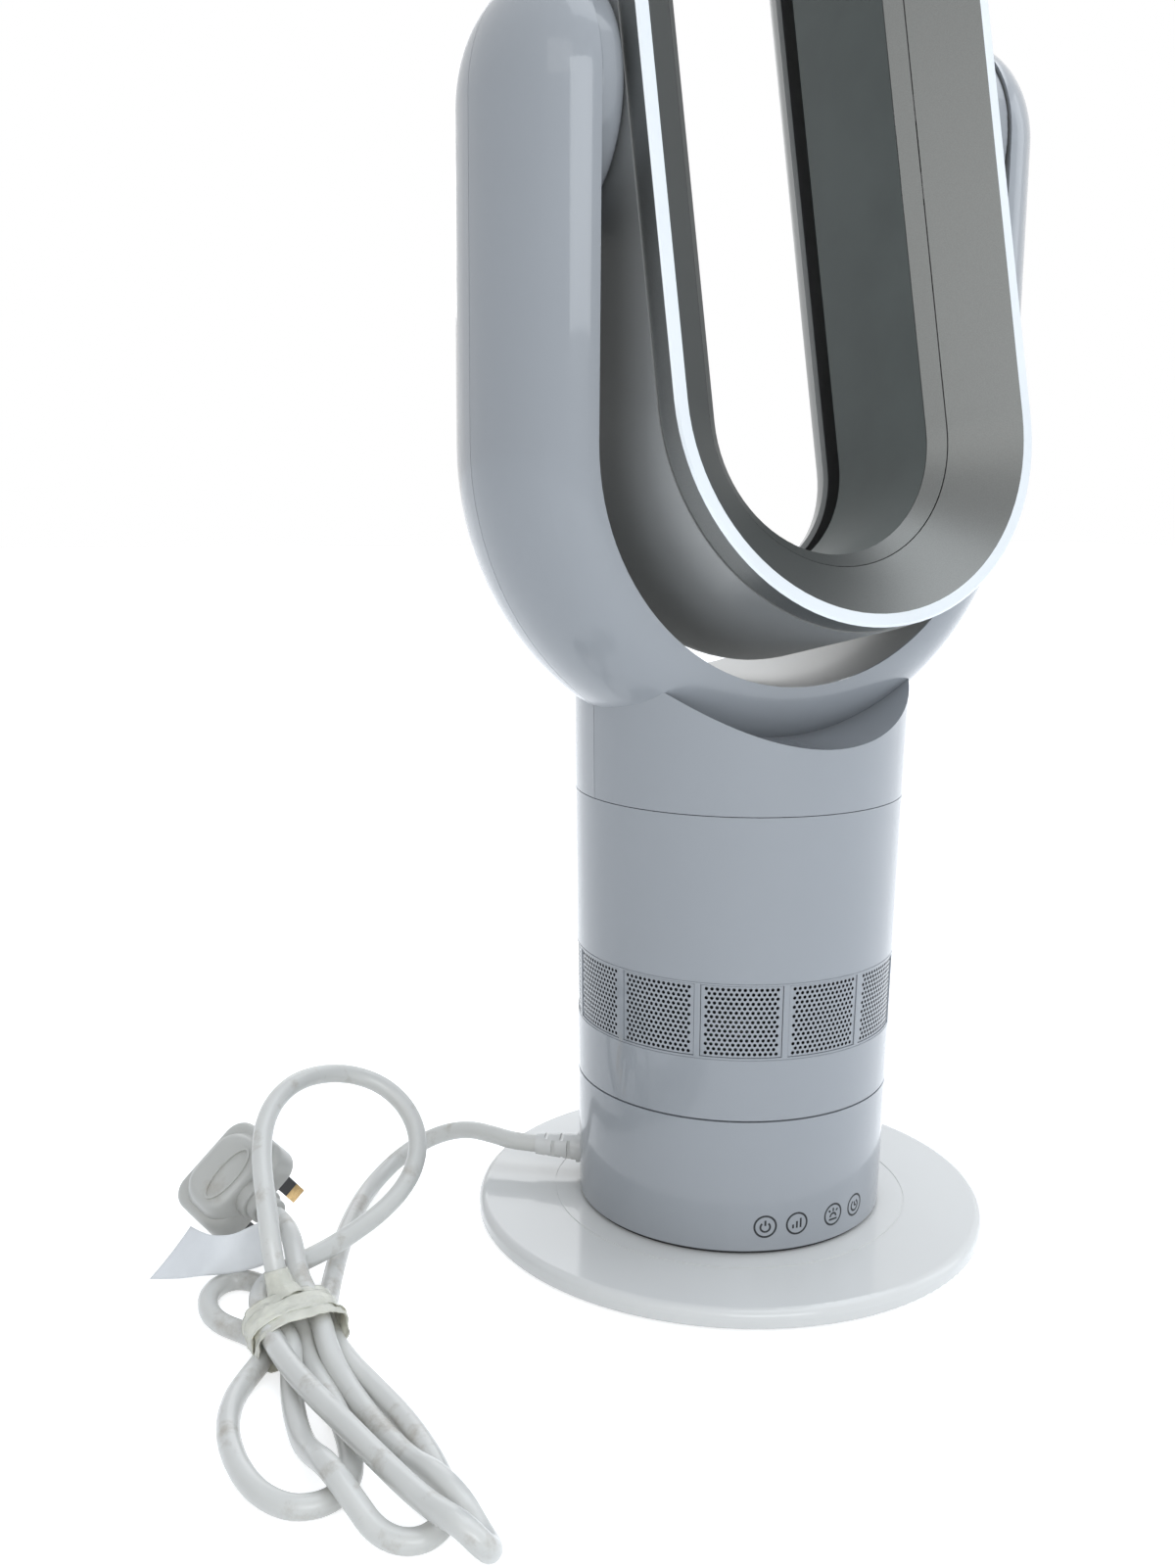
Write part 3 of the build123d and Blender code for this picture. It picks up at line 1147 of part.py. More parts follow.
def cord_bundle():
    save("mains_lead", cord_tube("mains_lead", LEAD_ROUTE))
    save("cord_loops", cord_tube("standing loop", LOOP_ROUTE), cord_tube("side loop", SIDE_ROUTE))
    save("cord_tail", cord_tube("plug end", TAIL_ROUTE))
    x0, x1, y0, y1, z0, z1 = NECK
    fan = make_face(Polyline(*HANK_OUTLINE, close=True)) - make_face(Polyline(*HANK_HOLE, close=True))
    hank = extrude(Pos(0, 0, z0) * fan, HANK_TOP - z0)
    hank = chamfer(hank.faces().sort_by(Axis.Z)[-1].outer_wire().edges(), 3.0)
    hank += block(*NECK)
    save("cord_hank", hank)
    t0, t1, wall = TIE
    band = block(x0 - wall, x1 + wall, t0, t1, 0.05, z1 + wall) - block(x0, x1, t0 - 1, t1 + 1, z0, z1)
    save("cord_tape", band)
    line = Polyline((-231, 40), (-222, 30), (-213, 23.5), (-204, 20.5), (-197.5, 16.5), (-191.1, 10.8))
    save("cord_tag", extrude(Pos(0, 0, 9) * trace(line, 0.5), 16))



def main():
    base_plate()
    ballast_disc()
    foot_pads()
    base_screws()
    base_chassis()
    inlays = icon_solids()
    base_shell(inlays)
    control_board()
    touch_pads()
    power_board()
    inner_lead()
    base_lead()
    bearing_deck()
    deck_screws()
    slide_ring()
    spindle_bush()
    swing_motor()
    swing_pinion()
    swing_gear()
    turntable()
    spindle_clip()
    driver_board()
    turntable_lead()
    column_shell()
    grille_panels()
    grille_frame()
    column_screws()
    blower_housing()
    motor_lead()
    stator_vanes()
    blower_motor()
    motor_mounts()
    motor_bearings()
    impeller()
    rotor_shaft()
    yoke_shells()
    yoke_screws()
    yoke_liner()
    hub_bushes()
    loop_front_ring()
    loop_inner_bezel()
    loop_inner_wall()
    loop_rear_shell()
    hub_domes()
    trunnions()
    trunnion_clips()
    tilt_washers()
    hub_screws()
    seal_ring()
    cord_gland()
    plug()
    cord_bundle()


main()
print(len(MADE), "nodes")
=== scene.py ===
# %% [markdown]
# # A fan without open blades, in its imported frame
# The CAD part gives every rigid piece its size and place. This script adds what CAD leaves plain: the
# finishes, the soft mains lead, the tape and the tag round it, and the rounded plug. Everything is in
# metres, in the part's own frame: +Z up, the front of the fan towards -Y.

# %% Load the frame
import bpy
import bmesh
from math import cos, pi, radians, sin
from mathutils import Matrix, Vector, noise


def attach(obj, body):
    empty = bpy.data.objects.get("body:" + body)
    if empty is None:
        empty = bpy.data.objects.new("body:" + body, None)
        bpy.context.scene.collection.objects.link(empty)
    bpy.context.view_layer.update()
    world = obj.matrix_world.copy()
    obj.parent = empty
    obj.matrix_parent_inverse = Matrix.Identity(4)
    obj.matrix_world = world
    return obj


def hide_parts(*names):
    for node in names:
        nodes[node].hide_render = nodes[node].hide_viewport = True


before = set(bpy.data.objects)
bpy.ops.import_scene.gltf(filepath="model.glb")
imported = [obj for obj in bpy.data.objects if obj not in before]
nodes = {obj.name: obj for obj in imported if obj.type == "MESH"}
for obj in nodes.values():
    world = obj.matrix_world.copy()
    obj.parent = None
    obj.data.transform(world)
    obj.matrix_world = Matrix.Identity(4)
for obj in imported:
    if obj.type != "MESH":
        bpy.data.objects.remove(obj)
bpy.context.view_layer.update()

# %% [markdown]
# ## Camera
# The photograph was taken from the front left, a little above the column, with a phone's wide lens and
# the top of the loop out of the frame. The camera's place and angles follow from the ellipses of the
# base and the seams. A matrix built from its three directions sets it without any constraint.

# %% Place the camera where the photograph was taken
CAMERA_AT = Vector((-0.3381, -0.5127, 0.2925))
TURN = radians(-33.4)      # from the object's front to the line of sight of a level camera
YAW = radians(5.67)
PITCH = radians(10.39)
ROLL = radians(0.43)
FOCAL_PIXELS = 1568.3
PHOTO_HEIGHT = 1601

turn = Matrix.Rotation(TURN, 3, "Z")
forward = turn @ Vector((-sin(YAW) * cos(PITCH), cos(YAW) * cos(PITCH), -sin(PITCH)))
level_right = turn @ Vector((cos(YAW), sin(YAW), 0))
level_up = level_right.cross(forward)
right = cos(ROLL) * level_right + sin(ROLL) * level_up
up = right.cross(forward)

lens = bpy.data.cameras.new("photo_camera")
lens.sensor_width = 36.0
lens.lens = FOCAL_PIXELS * lens.sensor_width / PHOTO_HEIGHT
lens.clip_start = 0.01
camera = bpy.data.objects.new("photo_camera", lens)
bpy.context.collection.objects.link(camera)
camera.matrix_world = Matrix.Translation(CAMERA_AT) @ Matrix((right, up, -forward)).transposed().to_4x4()
bpy.context.scene.camera = camera
print("camera lens %.2f mm" % lens.lens)

# %% [markdown]
# ## The mains lead's line
# One lead runs from the outlet to the plug. It is one open NURBS curve, because such a curve passes
# smoothly inside its control points, as a stiff round lead does. The points go over the edge of the
# plate, along the floor, and through the taped bundle several times: two flat loops and one folded loop
# towards the front, one small and one standing loop towards the back.

# %% Points of the lead, from the outlet to the plug
CORD_RADIUS = 0.00375
CORD_POINTS = [
    (-0.0649, 0.0514, 0.0193), (-0.0727, 0.0576, 0.0193), (-0.0794, 0.0659, 0.0206),
    (-0.0862, 0.0755, 0.0208), (-0.094, 0.0833, 0.018), (-0.104, 0.0875, 0.0136),
    (-0.115, 0.086, 0.0092), (-0.1255, 0.08, 0.006), (-0.1355, 0.0705, 0.0043),
    (-0.145, 0.0575, 0.0039), (-0.1545, 0.042, 0.0039), (-0.163, 0.026, 0.0039),
    (-0.171, 0.0095, 0.0039), (-0.178, -0.006, 0.004), (-0.1833, -0.02, 0.0042),
    (-0.1864, -0.036, 0.0042), (-0.1854, -0.0554, 0.0039), (-0.1826, -0.0748, 0.0039),
    (-0.1806, -0.0941, 0.0039), (-0.1806, -0.1126, 0.0039), (-0.1823, -0.1285, 0.0039),
    (-0.1856, -0.138, 0.0039), (-0.19, -0.1452, 0.0039), (-0.1968, -0.1486, 0.0039),
    (-0.2036, -0.1462, 0.0039), (-0.2084, -0.1394, 0.005), (-0.211, -0.1315, 0.009),
    (-0.2134, -0.123, 0.0126), (-0.2146, -0.113, 0.0126), (-0.2146, -0.101, 0.008),
    (-0.2138, -0.088, 0.0042), (-0.211, -0.07, 0.0039), (-0.207, -0.0545, 0.005),
    (-0.203, -0.0435, 0.009), (-0.2028, -0.034, 0.0105), (-0.202, -0.026, 0.007),
    (-0.1976, -0.0175, 0.004), (-0.1962, -0.005, 0.0039), (-0.1966, 0.009, 0.0039),
    (-0.1984, 0.0155, 0.0039), (-0.2042, 0.0216, 0.0039), (-0.2116, 0.0208, 0.0039),
    (-0.2176, 0.014, 0.0039), (-0.2202, 0.0035, 0.0039), (-0.2186, -0.007, 0.0039),
    (-0.213, -0.016, 0.0039), (-0.2084, -0.025, 0.0039), (-0.2104, -0.036, 0.0039),
    (-0.2178, -0.044, 0.0039), (-0.227, -0.0556, 0.0039), (-0.2332, -0.0716, 0.0039),
    (-0.235, -0.0897, 0.0039), (-0.2333, -0.1058, 0.0039), (-0.2275, -0.1169, 0.0039),
    (-0.2195, -0.1204, 0.0039), (-0.2115, -0.1184, 0.0039), (-0.2048, -0.1105, 0.0039),
    (-0.2006, -0.0949, 0.0039), (-0.1984, -0.0764, 0.0039), (-0.1984, -0.0571, 0.0039),
    (-0.1972, -0.042, 0.0044), (-0.1946, -0.0305, 0.008), (-0.1974, -0.021, 0.013),
    (-0.199, -0.0145, 0.019), (-0.1998, -0.011, 0.0265), (-0.1996, -0.007, 0.034),
    (-0.198, 0.0015, 0.0405), (-0.1962, 0.012, 0.046), (-0.1936, 0.023, 0.052),
    (-0.189, 0.0345, 0.058), (-0.181, 0.0465, 0.062), (-0.1695, 0.0568, 0.064),
    (-0.156, 0.063, 0.063), (-0.1425, 0.0652, 0.0595), (-0.131, 0.0615, 0.054),
    (-0.1242, 0.053, 0.0465), (-0.1232, 0.0425, 0.0385), (-0.1276, 0.0328, 0.031),
    (-0.1363, 0.0256, 0.024), (-0.148, 0.0208, 0.0183), (-0.1605, 0.0172, 0.0144),
    (-0.1725, 0.0133, 0.0121), (-0.1835, 0.0092, 0.0116), (-0.1933, 0.0046, 0.0116),
    (-0.2015, -0.0026, 0.0118), (-0.206, -0.012, 0.0119), (-0.2074, -0.024, 0.0124),
    (-0.2092, -0.0403, 0.013), (-0.2086, -0.058, 0.0124), (-0.2058, -0.079, 0.012),
    (-0.2024, -0.0991, 0.0122), (-0.1999, -0.1184, 0.0128), (-0.1974, -0.1345, 0.0132),
    (-0.1948, -0.147, 0.0136), (-0.193, -0.1539, 0.0144), (-0.1906, -0.1606, 0.0146),
    (-0.186, -0.1654, 0.0094), (-0.1818, -0.1618, 0.004), (-0.1822, -0.153, 0.0052),
    (-0.1848, -0.146, 0.0118), (-0.187, -0.133, 0.0122), (-0.188, -0.116, 0.0062),
    (-0.1894, -0.0974, 0.004), (-0.1909, -0.0788, 0.004), (-0.1919, -0.0596, 0.0054),
    (-0.1919, -0.0464, 0.0094), (-0.1902, -0.0361, 0.0122), (-0.1894, -0.022, 0.0128),
    (-0.19, -0.011, 0.0156), (-0.1888, -0.002, 0.0192), (-0.1872, 0.0075, 0.0226),
    (-0.1861, 0.0199, 0.0226), (-0.1885, 0.0256, 0.0245),
]


def nurbs_line(name, points):
    """One open spline of order 3 with the points as its control points."""
    curve = bpy.data.curves.new(name, "CURVE")
    curve.dimensions = "3D"
    spline = curve.splines.new("NURBS")
    spline.points.add(len(points) - 1)
    for place, point in zip(spline.points, points):
        place.co = (*point, 1.0)
    spline.order_u = 3
    spline.use_endpoint_u = True
    spline.resolution_u = 8
    return curve


cord_curve = nurbs_line("mains_cord", CORD_POINTS)
cord_curve.bevel_depth = CORD_RADIUS
cord_curve.bevel_resolution = 7
cord_curve.use_fill_caps = True
cord = bpy.data.objects.new("mains_cord", cord_curve)
bpy.context.collection.objects.link(cord)


def line_of(curve_object):
    """The smooth line of a curve, read back as points."""
    bare = curve_object.data.copy()
    bare.bevel_depth = 0.0
    probe = bpy.data.objects.new("probe", bare)
    mesh = bpy.data.meshes.new_from_object(probe)
    line = [v.co.copy() for v in mesh.vertices]
    bpy.data.objects.remove(probe)
    bpy.data.curves.remove(bare)
    return line


cord_line = line_of(cord)

# %% [markdown]
# ## Floor and light
# A studio floor as pale as the wall behind it. What the camera sees, and what metal, gloss and clear film
# show of the room, is that white; the light that falls on the fan comes from five lamps and from a sky
# that is a little brighter above.

# %% Floor
FLOOR_HALF = 9.0
FLOOR_LIFT = 0.62


def link_mesh(name, shape):
    """A bmesh becomes an object at the origin."""
    mesh = bpy.data.meshes.new(name)
    shape.to_mesh(mesh)
    shape.free()
    made = bpy.data.objects.new(name, mesh)
    bpy.context.collection.objects.link(made)
    return made


plane = bmesh.new()
bmesh.ops.create_grid(plane, x_segments=1, y_segments=1, size=FLOOR_HALF)
floor = link_mesh("studio_floor", plane)
print("floor", FLOOR_HALF * 2, "m square")


# %% Lamps and world
def lamp(name, place, aim, size, power, colour, size_y=None):
    """A rectangular lamp at a place, turned towards a point."""
    light = bpy.data.lights.new(name, "AREA")
    light.shape = "RECTANGLE"
    light.size = size
    light.size_y = size_y or size
    light.energy = power
    light.color = colour
    made = bpy.data.objects.new(name, light)
    bpy.context.collection.objects.link(made)
    toward = Vector(aim) - Vector(place)
    made.matrix_world = Matrix.Translation(place) @ toward.to_track_quat("-Z", "Y").to_matrix().to_4x4()
    return made


MIDDLE = (0.0, 0.0, 0.32)
SKYLIGHT = (0.90, 0.95, 1.0)
lamp("window", place=(-0.52, -2.15, 1.05), aim=(-0.06, -0.03, 0.38), size=1.55, size_y=0.95, power=17.0,
     colour=(0.93, 0.97, 1.0))
lamp("upper_left", place=(-1.5, -1.35, 1.45), aim=MIDDLE, size=1.3, size_y=1.0, power=4.0,
     colour=(1.0, 0.99, 0.97))
lamp("side_window", place=(1.9, -0.6, 1.0), aim=MIDDLE, size=0.8, size_y=1.4, power=5.0, colour=SKYLIGHT)
lamp("ceiling", place=(0.6, 0.0, 2.2), aim=MIDDLE, size=2.0, power=22.0, colour=SKYLIGHT)
lamp("rear_fill", place=(0.8, 2.1, 1.2), aim=MIDDLE, size=1.4, size_y=1.2, power=5.0,
     colour=(0.96, 0.98, 1.0))

EYE_RAYS = ("Is Camera Ray", "Is Glossy Ray", "Is Transmission Ray")


def seen_by_eye(graph):
    """1 for the rays that show a thing to the camera, 0 for the light that falls on the object."""
    ray = graph.nodes.new("ShaderNodeLightPath")
    total = ray.outputs[EYE_RAYS[0]]
    for kind in EYE_RAYS[1:]:
        joined = graph.nodes.new("ShaderNodeMath")
        joined.operation = "MAXIMUM"
        graph.links.new(total, joined.inputs[0])
        graph.links.new(ray.outputs[kind], joined.inputs[1])
        total = joined.outputs[0]
    return total


def sky_ramp(graph, way, stops):
    """Brightness of the sky along one direction, from its far side (-1) to its near side (1)."""
    spot = graph.nodes.new("ShaderNodeTexCoord")
    along = graph.nodes.new("ShaderNodeVectorMath")
    along.operation = "DOT_PRODUCT"
    along.inputs[1].default_value = way
    share = graph.nodes.new("ShaderNodeMapRange")
    share.inputs["From Min"].default_value = -1.0
    ramp = graph.nodes.new("ShaderNodeValToRGB")
    while len(ramp.color_ramp.elements) < len(stops):
        ramp.color_ramp.elements.new(0.5)
    for element, (place, colour) in zip(ramp.color_ramp.elements, stops):
        element.position = place
        element.color = (*colour, 1)
    graph.links.new(spot.outputs["Generated"], along.inputs[0])
    graph.links.new(along.outputs["Value"], share.inputs["Value"])
    graph.links.new(share.outputs["Result"], ramp.inputs["Fac"])
    return ramp.outputs["Color"]


SKY_WAY = (0.45, 0.1, 0.88)
SKY_STOPS = [(0.10, (0.20, 0.20, 0.19)), (0.5, (0.33, 0.35, 0.37)), (0.9, (0.60, 0.65, 0.72))]

world = bpy.data.worlds.new("studio")
bpy.context.scene.world = world
world.use_nodes = True
sky_graph = world.node_tree
sky_graph.nodes.clear()
falling_light = sky_ramp(sky_graph, SKY_WAY, SKY_STOPS)
sky = sky_graph.nodes.new("ShaderNodeBackground")
sky_graph.links.new(falling_light, sky.inputs["Color"])
wall = sky_graph.nodes.new("ShaderNodeBackground")
wall.inputs["Color"].default_value = (1.0, 1.0, 1.0, 1.0)
either = sky_graph.nodes.new("ShaderNodeMixShader")
sky_graph.links.new(seen_by_eye(sky_graph), either.inputs["Fac"])
sky_graph.links.new(sky.outputs[0], either.inputs[1])
sky_graph.links.new(wall.outputs[0], either.inputs[2])
out = sky_graph.nodes.new("ShaderNodeOutputWorld")
sky_graph.links.new(either.outputs[0], out.inputs["Surface"])
bpy.context.scene.view_settings.view_transform = "Standard"
print("lamps:", len(bpy.data.lights))

# %% [markdown]
# ## Finishes
# Each finish starts from the same small graph: object coordinates feed noises of two sizes. The coarse
# one lets colour and roughness drift a little, as on a handled moulding; the fine one is the skin, as
# bump. Numbers that are the same all over are set on the shader itself.


# %% A finish from two noises
def finish(name, colour, rough, drift=0.03, cell=40.0, skin=900.0, skin_depth=0.02, metal=0.0, coat=0.0,
           rough_drift=0.06, stain=None, stain_share=0.0, through=0.0, specular=0.5):
    """A moulded, painted or metal surface. Sizes of the noises are given per metre."""
    material = bpy.data.materials.new(name)
    material.use_nodes = True
    graph = material.node_tree
    shader = graph.nodes["Principled BSDF"]
    shader.inputs["Metallic"].default_value = metal
    shader.inputs["Coat Weight"].default_value = coat
    shader.inputs["Coat Roughness"].default_value = 0.04
    shader.inputs["Specular IOR Level"].default_value = specular
    shader.inputs["Transmission Weight"].default_value = through
    place = graph.nodes.new("ShaderNodeTexCoord")
    coarse = graph.nodes.new("ShaderNodeTexNoise")
    coarse.inputs["Scale"].default_value = cell
    coarse.inputs["Detail"].default_value = 4.0
    fine = graph.nodes.new("ShaderNodeTexNoise")
    fine.inputs["Scale"].default_value = skin
    fine.inputs["Detail"].default_value = 3.0
    graph.links.new(place.outputs["Object"], coarse.inputs["Vector"])
    graph.links.new(place.outputs["Object"], fine.inputs["Vector"])
    tint = graph.nodes.new("ShaderNodeValToRGB")
    low, high = tint.color_ramp.elements
    low.position, high.position = 0.32, 0.68
    low.color = (*[max(c * (1 - drift), 0.0) for c in colour], 1)
    high.color = (*[min(c * (1 + drift), 1.0) for c in colour], 1)
    graph.links.new(coarse.outputs["Fac"], tint.inputs["Fac"])
    shade = tint.outputs["Color"]
    if stain:
        shade = stained(graph, place, shade, stain, stain_share)
    graph.links.new(shade, shader.inputs["Base Color"])
    gloss = graph.nodes.new("ShaderNodeMapRange")
    gloss.inputs["To Min"].default_value = max(rough - rough_drift, 0.02)
    gloss.inputs["To Max"].default_value = rough + rough_drift
    graph.links.new(coarse.outputs["Fac"], gloss.inputs["Value"])
    graph.links.new(gloss.outputs["Result"], shader.inputs["Roughness"])
    bump = graph.nodes.new("ShaderNodeBump")
    bump.inputs["Strength"].default_value = 1.0
    bump.inputs["Distance"].default_value = skin_depth * 0.001
    graph.links.new(fine.outputs["Fac"], bump.inputs["Height"])
    graph.links.new(bump.outputs["Normal"], shader.inputs["Normal"])
    return material


def stained(graph, place, shade, stain, share):
    """Dirt in soft patches over a shade; share is how much of the surface it takes."""
    patches = graph.nodes.new("ShaderNodeTexNoise")
    patches.inputs["Scale"].default_value = 55.0
    patches.inputs["Detail"].default_value = 7.0
    patches.inputs["Roughness"].default_value = 0.65
    graph.links.new(place.outputs["Object"], patches.inputs["Vector"])
    cut = graph.nodes.new("ShaderNodeMapRange")
    cut.inputs["From Min"].default_value = 0.62 - share * 0.4
    cut.inputs["From Max"].default_value = 0.80 - share * 0.2
    cut.inputs["To Max"].default_value = 0.75
    graph.links.new(patches.outputs["Fac"], cut.inputs["Value"])
    blend = graph.nodes.new("ShaderNodeMix")
    blend.data_type = "RGBA"
    blend.inputs["B"].default_value = (*stain, 1)
    graph.links.new(cut.outputs["Result"], blend.inputs["Factor"])
    graph.links.new(shade, blend.inputs["A"])
    return blend.outputs["Result"]


white_shell = finish("white_shell", (0.345, 0.363, 0.387), 0.22, drift=0.012, cell=9, skin=1400,
                     skin_depth=0.004, coat=0.5, rough_drift=0.03, specular=0.2)
# Painted light: the base plate is the same white plastic as the shell, and this brighter copy of the shell's
# colour stands for the light on its upturned face; the cord gland wears it for its own cream colour.
lit_plate_and_cream_gland = finish("lit_plate_and_cream_gland", (0.71, 0.705, 0.685), 0.14, drift=0.012, cell=9, skin=1400,
                     skin_depth=0.003, coat=0.5, rough_drift=0.03, specular=0.2)
# painted highlight: the lip is the same satin silver as the funnel; this pale bluish colour stands for the
# window's reflection on it
lip_painted_highlight = finish("lip_painted_highlight", (0.80, 0.84, 0.87), 0.30, drift=0.02, cell=24, skin=2600,
                    skin_depth=0.002, metal=0.25, coat=0.4)
silver_paint = finish("silver_paint", (0.165, 0.170, 0.166), 0.33, drift=0.08, cell=2600, skin=4200,
                      skin_depth=0.010, metal=0.7, rough_drift=0.05, specular=0.3)
bronze_grey = finish("bronze_grey", (0.33, 0.334, 0.33), 0.36, drift=0.03, cell=14, skin=2600,
                     skin_depth=0.008, metal=0.5, rough_drift=0.05)
dark_guide = finish("dark_guide", (0.125, 0.138, 0.132), 0.55, drift=0.08, cell=30, skin=2200,
                    skin_depth=0.01, specular=0.25)
black_plastic = finish("black_plastic", (0.018, 0.018, 0.02), 0.5, drift=0.15, cell=60, skin=1600,
                       skin_depth=0.03)
nylon = finish("natural_nylon", (0.72, 0.69, 0.60), 0.45, drift=0.04, cell=50, skin=1500, skin_depth=0.02)
symbol_grey = finish("symbol_grey", (0.014, 0.015, 0.018), 0.5, drift=0.08, cell=300, skin=2500,
                     skin_depth=0.01)
steel = finish("turned_steel", (0.52, 0.52, 0.53), 0.28, drift=0.08, cell=500, skin=3000,
               skin_depth=0.01, metal=1.0)
cast_iron = finish("cast_iron", (0.10, 0.10, 0.105), 0.62, drift=0.25, cell=180, skin=900,
                   skin_depth=0.12, metal=0.6)
board_green = finish("board_green", (0.02, 0.12, 0.05), 0.3, drift=0.3, cell=220, skin=700,
                     skin_depth=0.05, coat=0.3)
foot_rubber = finish("foot_rubber", (0.06, 0.06, 0.062), 0.75, drift=0.2, cell=120, skin=1100,
                     skin_depth=0.06)
wire_black = finish("wire_black", (0.015, 0.015, 0.015), 0.42, drift=0.2, cell=200, skin=1600,
                    skin_depth=0.02)
brass = finish("worn_brass", (0.60, 0.42, 0.20), 0.26, drift=0.22, cell=260, skin=2400,
               skin_depth=0.015, metal=1.0)
sheath = finish("white_sheath", (0.64, 0.635, 0.605), 0.34, drift=0.035, cell=26, skin=1500,
                skin_depth=0.014, rough_drift=0.08, stain=(0.27, 0.215, 0.145), stain_share=0.20,
                coat=0.4)
plug_plastic = finish("plug_plastic", (0.50, 0.495, 0.465), 0.36, drift=0.03, cell=50, skin=1300,
                      skin_depth=0.02, stain=(0.38, 0.35, 0.30), stain_share=0.12, coat=0.15)
paper = finish("tag_film", (0.80, 0.81, 0.82), 0.35, drift=0.02, cell=120, skin=500, skin_depth=0.02)
tape_film = finish("clear_tape", (0.90, 0.89, 0.79), 0.20, drift=0.10, cell=130, skin=380,
                   skin_depth=0.35, through=0.35, rough_drift=0.12, stain=(0.70, 0.62, 0.42),
                   stain_share=0.08)
floor_paint = finish("floor_paint", (0.86, 0.87, 0.88), 0.55, drift=0.01, cell=3, skin=200,
                     skin_depth=0.01)
floor_graph = floor_paint.node_tree
floor_shader = floor_graph.nodes["Principled BSDF"]
floor_shader.inputs["Emission Color"].default_value = (1.0, 1.0, 1.0, 1.0)
lift = floor_graph.nodes.new("ShaderNodeMath")
lift.operation = "MULTIPLY"
lift.inputs[1].default_value = FLOOR_LIFT
floor_graph.links.new(seen_by_eye(floor_graph), lift.inputs[0])
floor_graph.links.new(lift.outputs[0], floor_shader.inputs["Emission Strength"])
floor.data.materials.append(floor_paint)
print("finishes:", len(bpy.data.materials))

# %% [markdown]
# ## The CAD pieces get their finishes
# The rigid pieces keep their CAD shape. Each gets the finish of what it is made of, except the base plate,
# which wears a brighter copy of the shell's finish as painted light; a plain table from finish to nodes is
# the clearest way. Round walls are shaded smooth, and edges sharper than a set angle stay crisp.

# %% Finish of every carried-over piece
WEARS = {
    # painted light on the base plate: a brighter copy of the white shell's colour
    lit_plate_and_cream_gland: ["base_plate", "cord_gland"],
    white_shell: ["base_shell", "column_shell", "yoke_front_shell", "yoke_rear_shell",
                  "hub_domes", "grille_panels"],
    silver_paint: ["loop_front_ring", "loop_inner_bezel"],
    bronze_grey: ["yoke_liner", "loop_rear_shell"],
    dark_guide: ["loop_inner_wall", "duct_seal"],
    black_plastic: ["base_chassis", "bearing_deck", "turntable", "grille_frame", "blower_housing",
                    "stator_vanes", "impeller", "plug_pin_sleeves", "motor_mounts"],
    nylon: ["slide_ring", "spindle_bush", "hub_bushes", "tilt_washers", "swing_gear", "swing_pinion"],
    symbol_grey: ["touch_symbols"],
    steel: ["base_screws", "deck_screws", "spindle_clip", "column_screws", "yoke_screws", "trunnions",
            "trunnion_clips", "hub_screws", "rotor_shaft", "motor_bearings", "swing_motor", "blower_motor"],
    cast_iron: ["ballast_disc"],
    board_green: ["control_board", "power_board", "motor_driver_board"],
    foot_rubber: ["foot_pads", "touch_pads"],
    wire_black: ["inner_mains_lead", "swing_lead", "driver_lead", "motor_lead"],
    brass: ["plug_pins"],
}
SHARP_EDGE = radians(28)
for material, names in WEARS.items():
    for name in names:
        mesh = nodes[name].data
        mesh.materials.clear()
        mesh.materials.append(material)
        mesh.shade_smooth()
        mesh.set_sharp_from_angle(angle=SHARP_EDGE)
print("dressed", sum(len(names) for names in WEARS.values()), "of", len(nodes), "nodes")

# %% [markdown]
# ## The painted highlight on the lip of the loop
# Round the front of the loop runs a narrow lip, of one piece with the satin funnel, which shows a bright
# reflection of the window. That reflection is painted: the lip's faces get a pale, bluish copy of the silver
# finish as a painted highlight. The lip is flat, so its faces all look straight ahead; the bevel beside it
# looks outwards by half a right angle. Both directions are easy to test, so the same CAD piece gets this
# second finish on just those faces.

# %% Paint the highlight on the lip
FLAT_AHEAD = 0.995                 # cosine between a face of the lip and straight ahead
BEVEL_AHEAD = (0.6, 0.8)           # the same for a face of the bevel beside it
lip_mesh = nodes["loop_front_ring"].data
lip_mesh.materials.append(lip_painted_highlight)
LOOP_CENTRE = Vector((0.0, 0.0, 0.4292))
straight = max((f.normal for f in lip_mesh.polygons), key=lambda n: -n.y).normalized()
highlight_faces = 0
for face in lip_mesh.polygons:
    ahead = face.normal.dot(straight)
    aside = face.normal - straight * ahead
    outward = (face.center - LOOP_CENTRE).dot(aside) > 0
    if ahead > FLAT_AHEAD or (BEVEL_AHEAD[0] < ahead < BEVEL_AHEAD[1] and outward):
        face.material_index = 1
        highlight_faces += 1
print("lip faces", highlight_faces, "looking along", [round(v, 3) for v in straight])

# %% [markdown]
# ## Shade in the holes of the grille
# Each intake panel has some two hundred fine holes, and the real ones look black, because the light dies in
# them. A render this small can't follow that, so the walls of the holes get painted shade: a dark finish of
# their own. A hole's wall is a small face that doesn't look outwards from the column.

# %% Darken the hole walls
HOLE_WALL_AREA = 1.2e-6
HOLE_WALL_OUTWARDS = 0.3
# painted shade: the hole walls are the panels' white plastic; this near-black stands for the shade inside
# the holes
hole_shade = finish("hole_shade", (0.03, 0.031, 0.033), 0.7, drift=0.1, cell=200, skin=1500, skin_depth=0.01,
                    specular=0.2)
panel_mesh = nodes["grille_panels"].data
panel_mesh.materials.append(hole_shade)
dark_walls = 0
for face in panel_mesh.polygons:
    outwards = Vector((face.center.x, face.center.y, 0)).normalized()
    if abs(face.normal.dot(outwards)) < HOLE_WALL_OUTWARDS and face.area < HOLE_WALL_AREA:
        face.material_index = 1
        dark_walls += 1
print("dark faces in the grille", dark_walls, "of", len(panel_mesh.polygons))

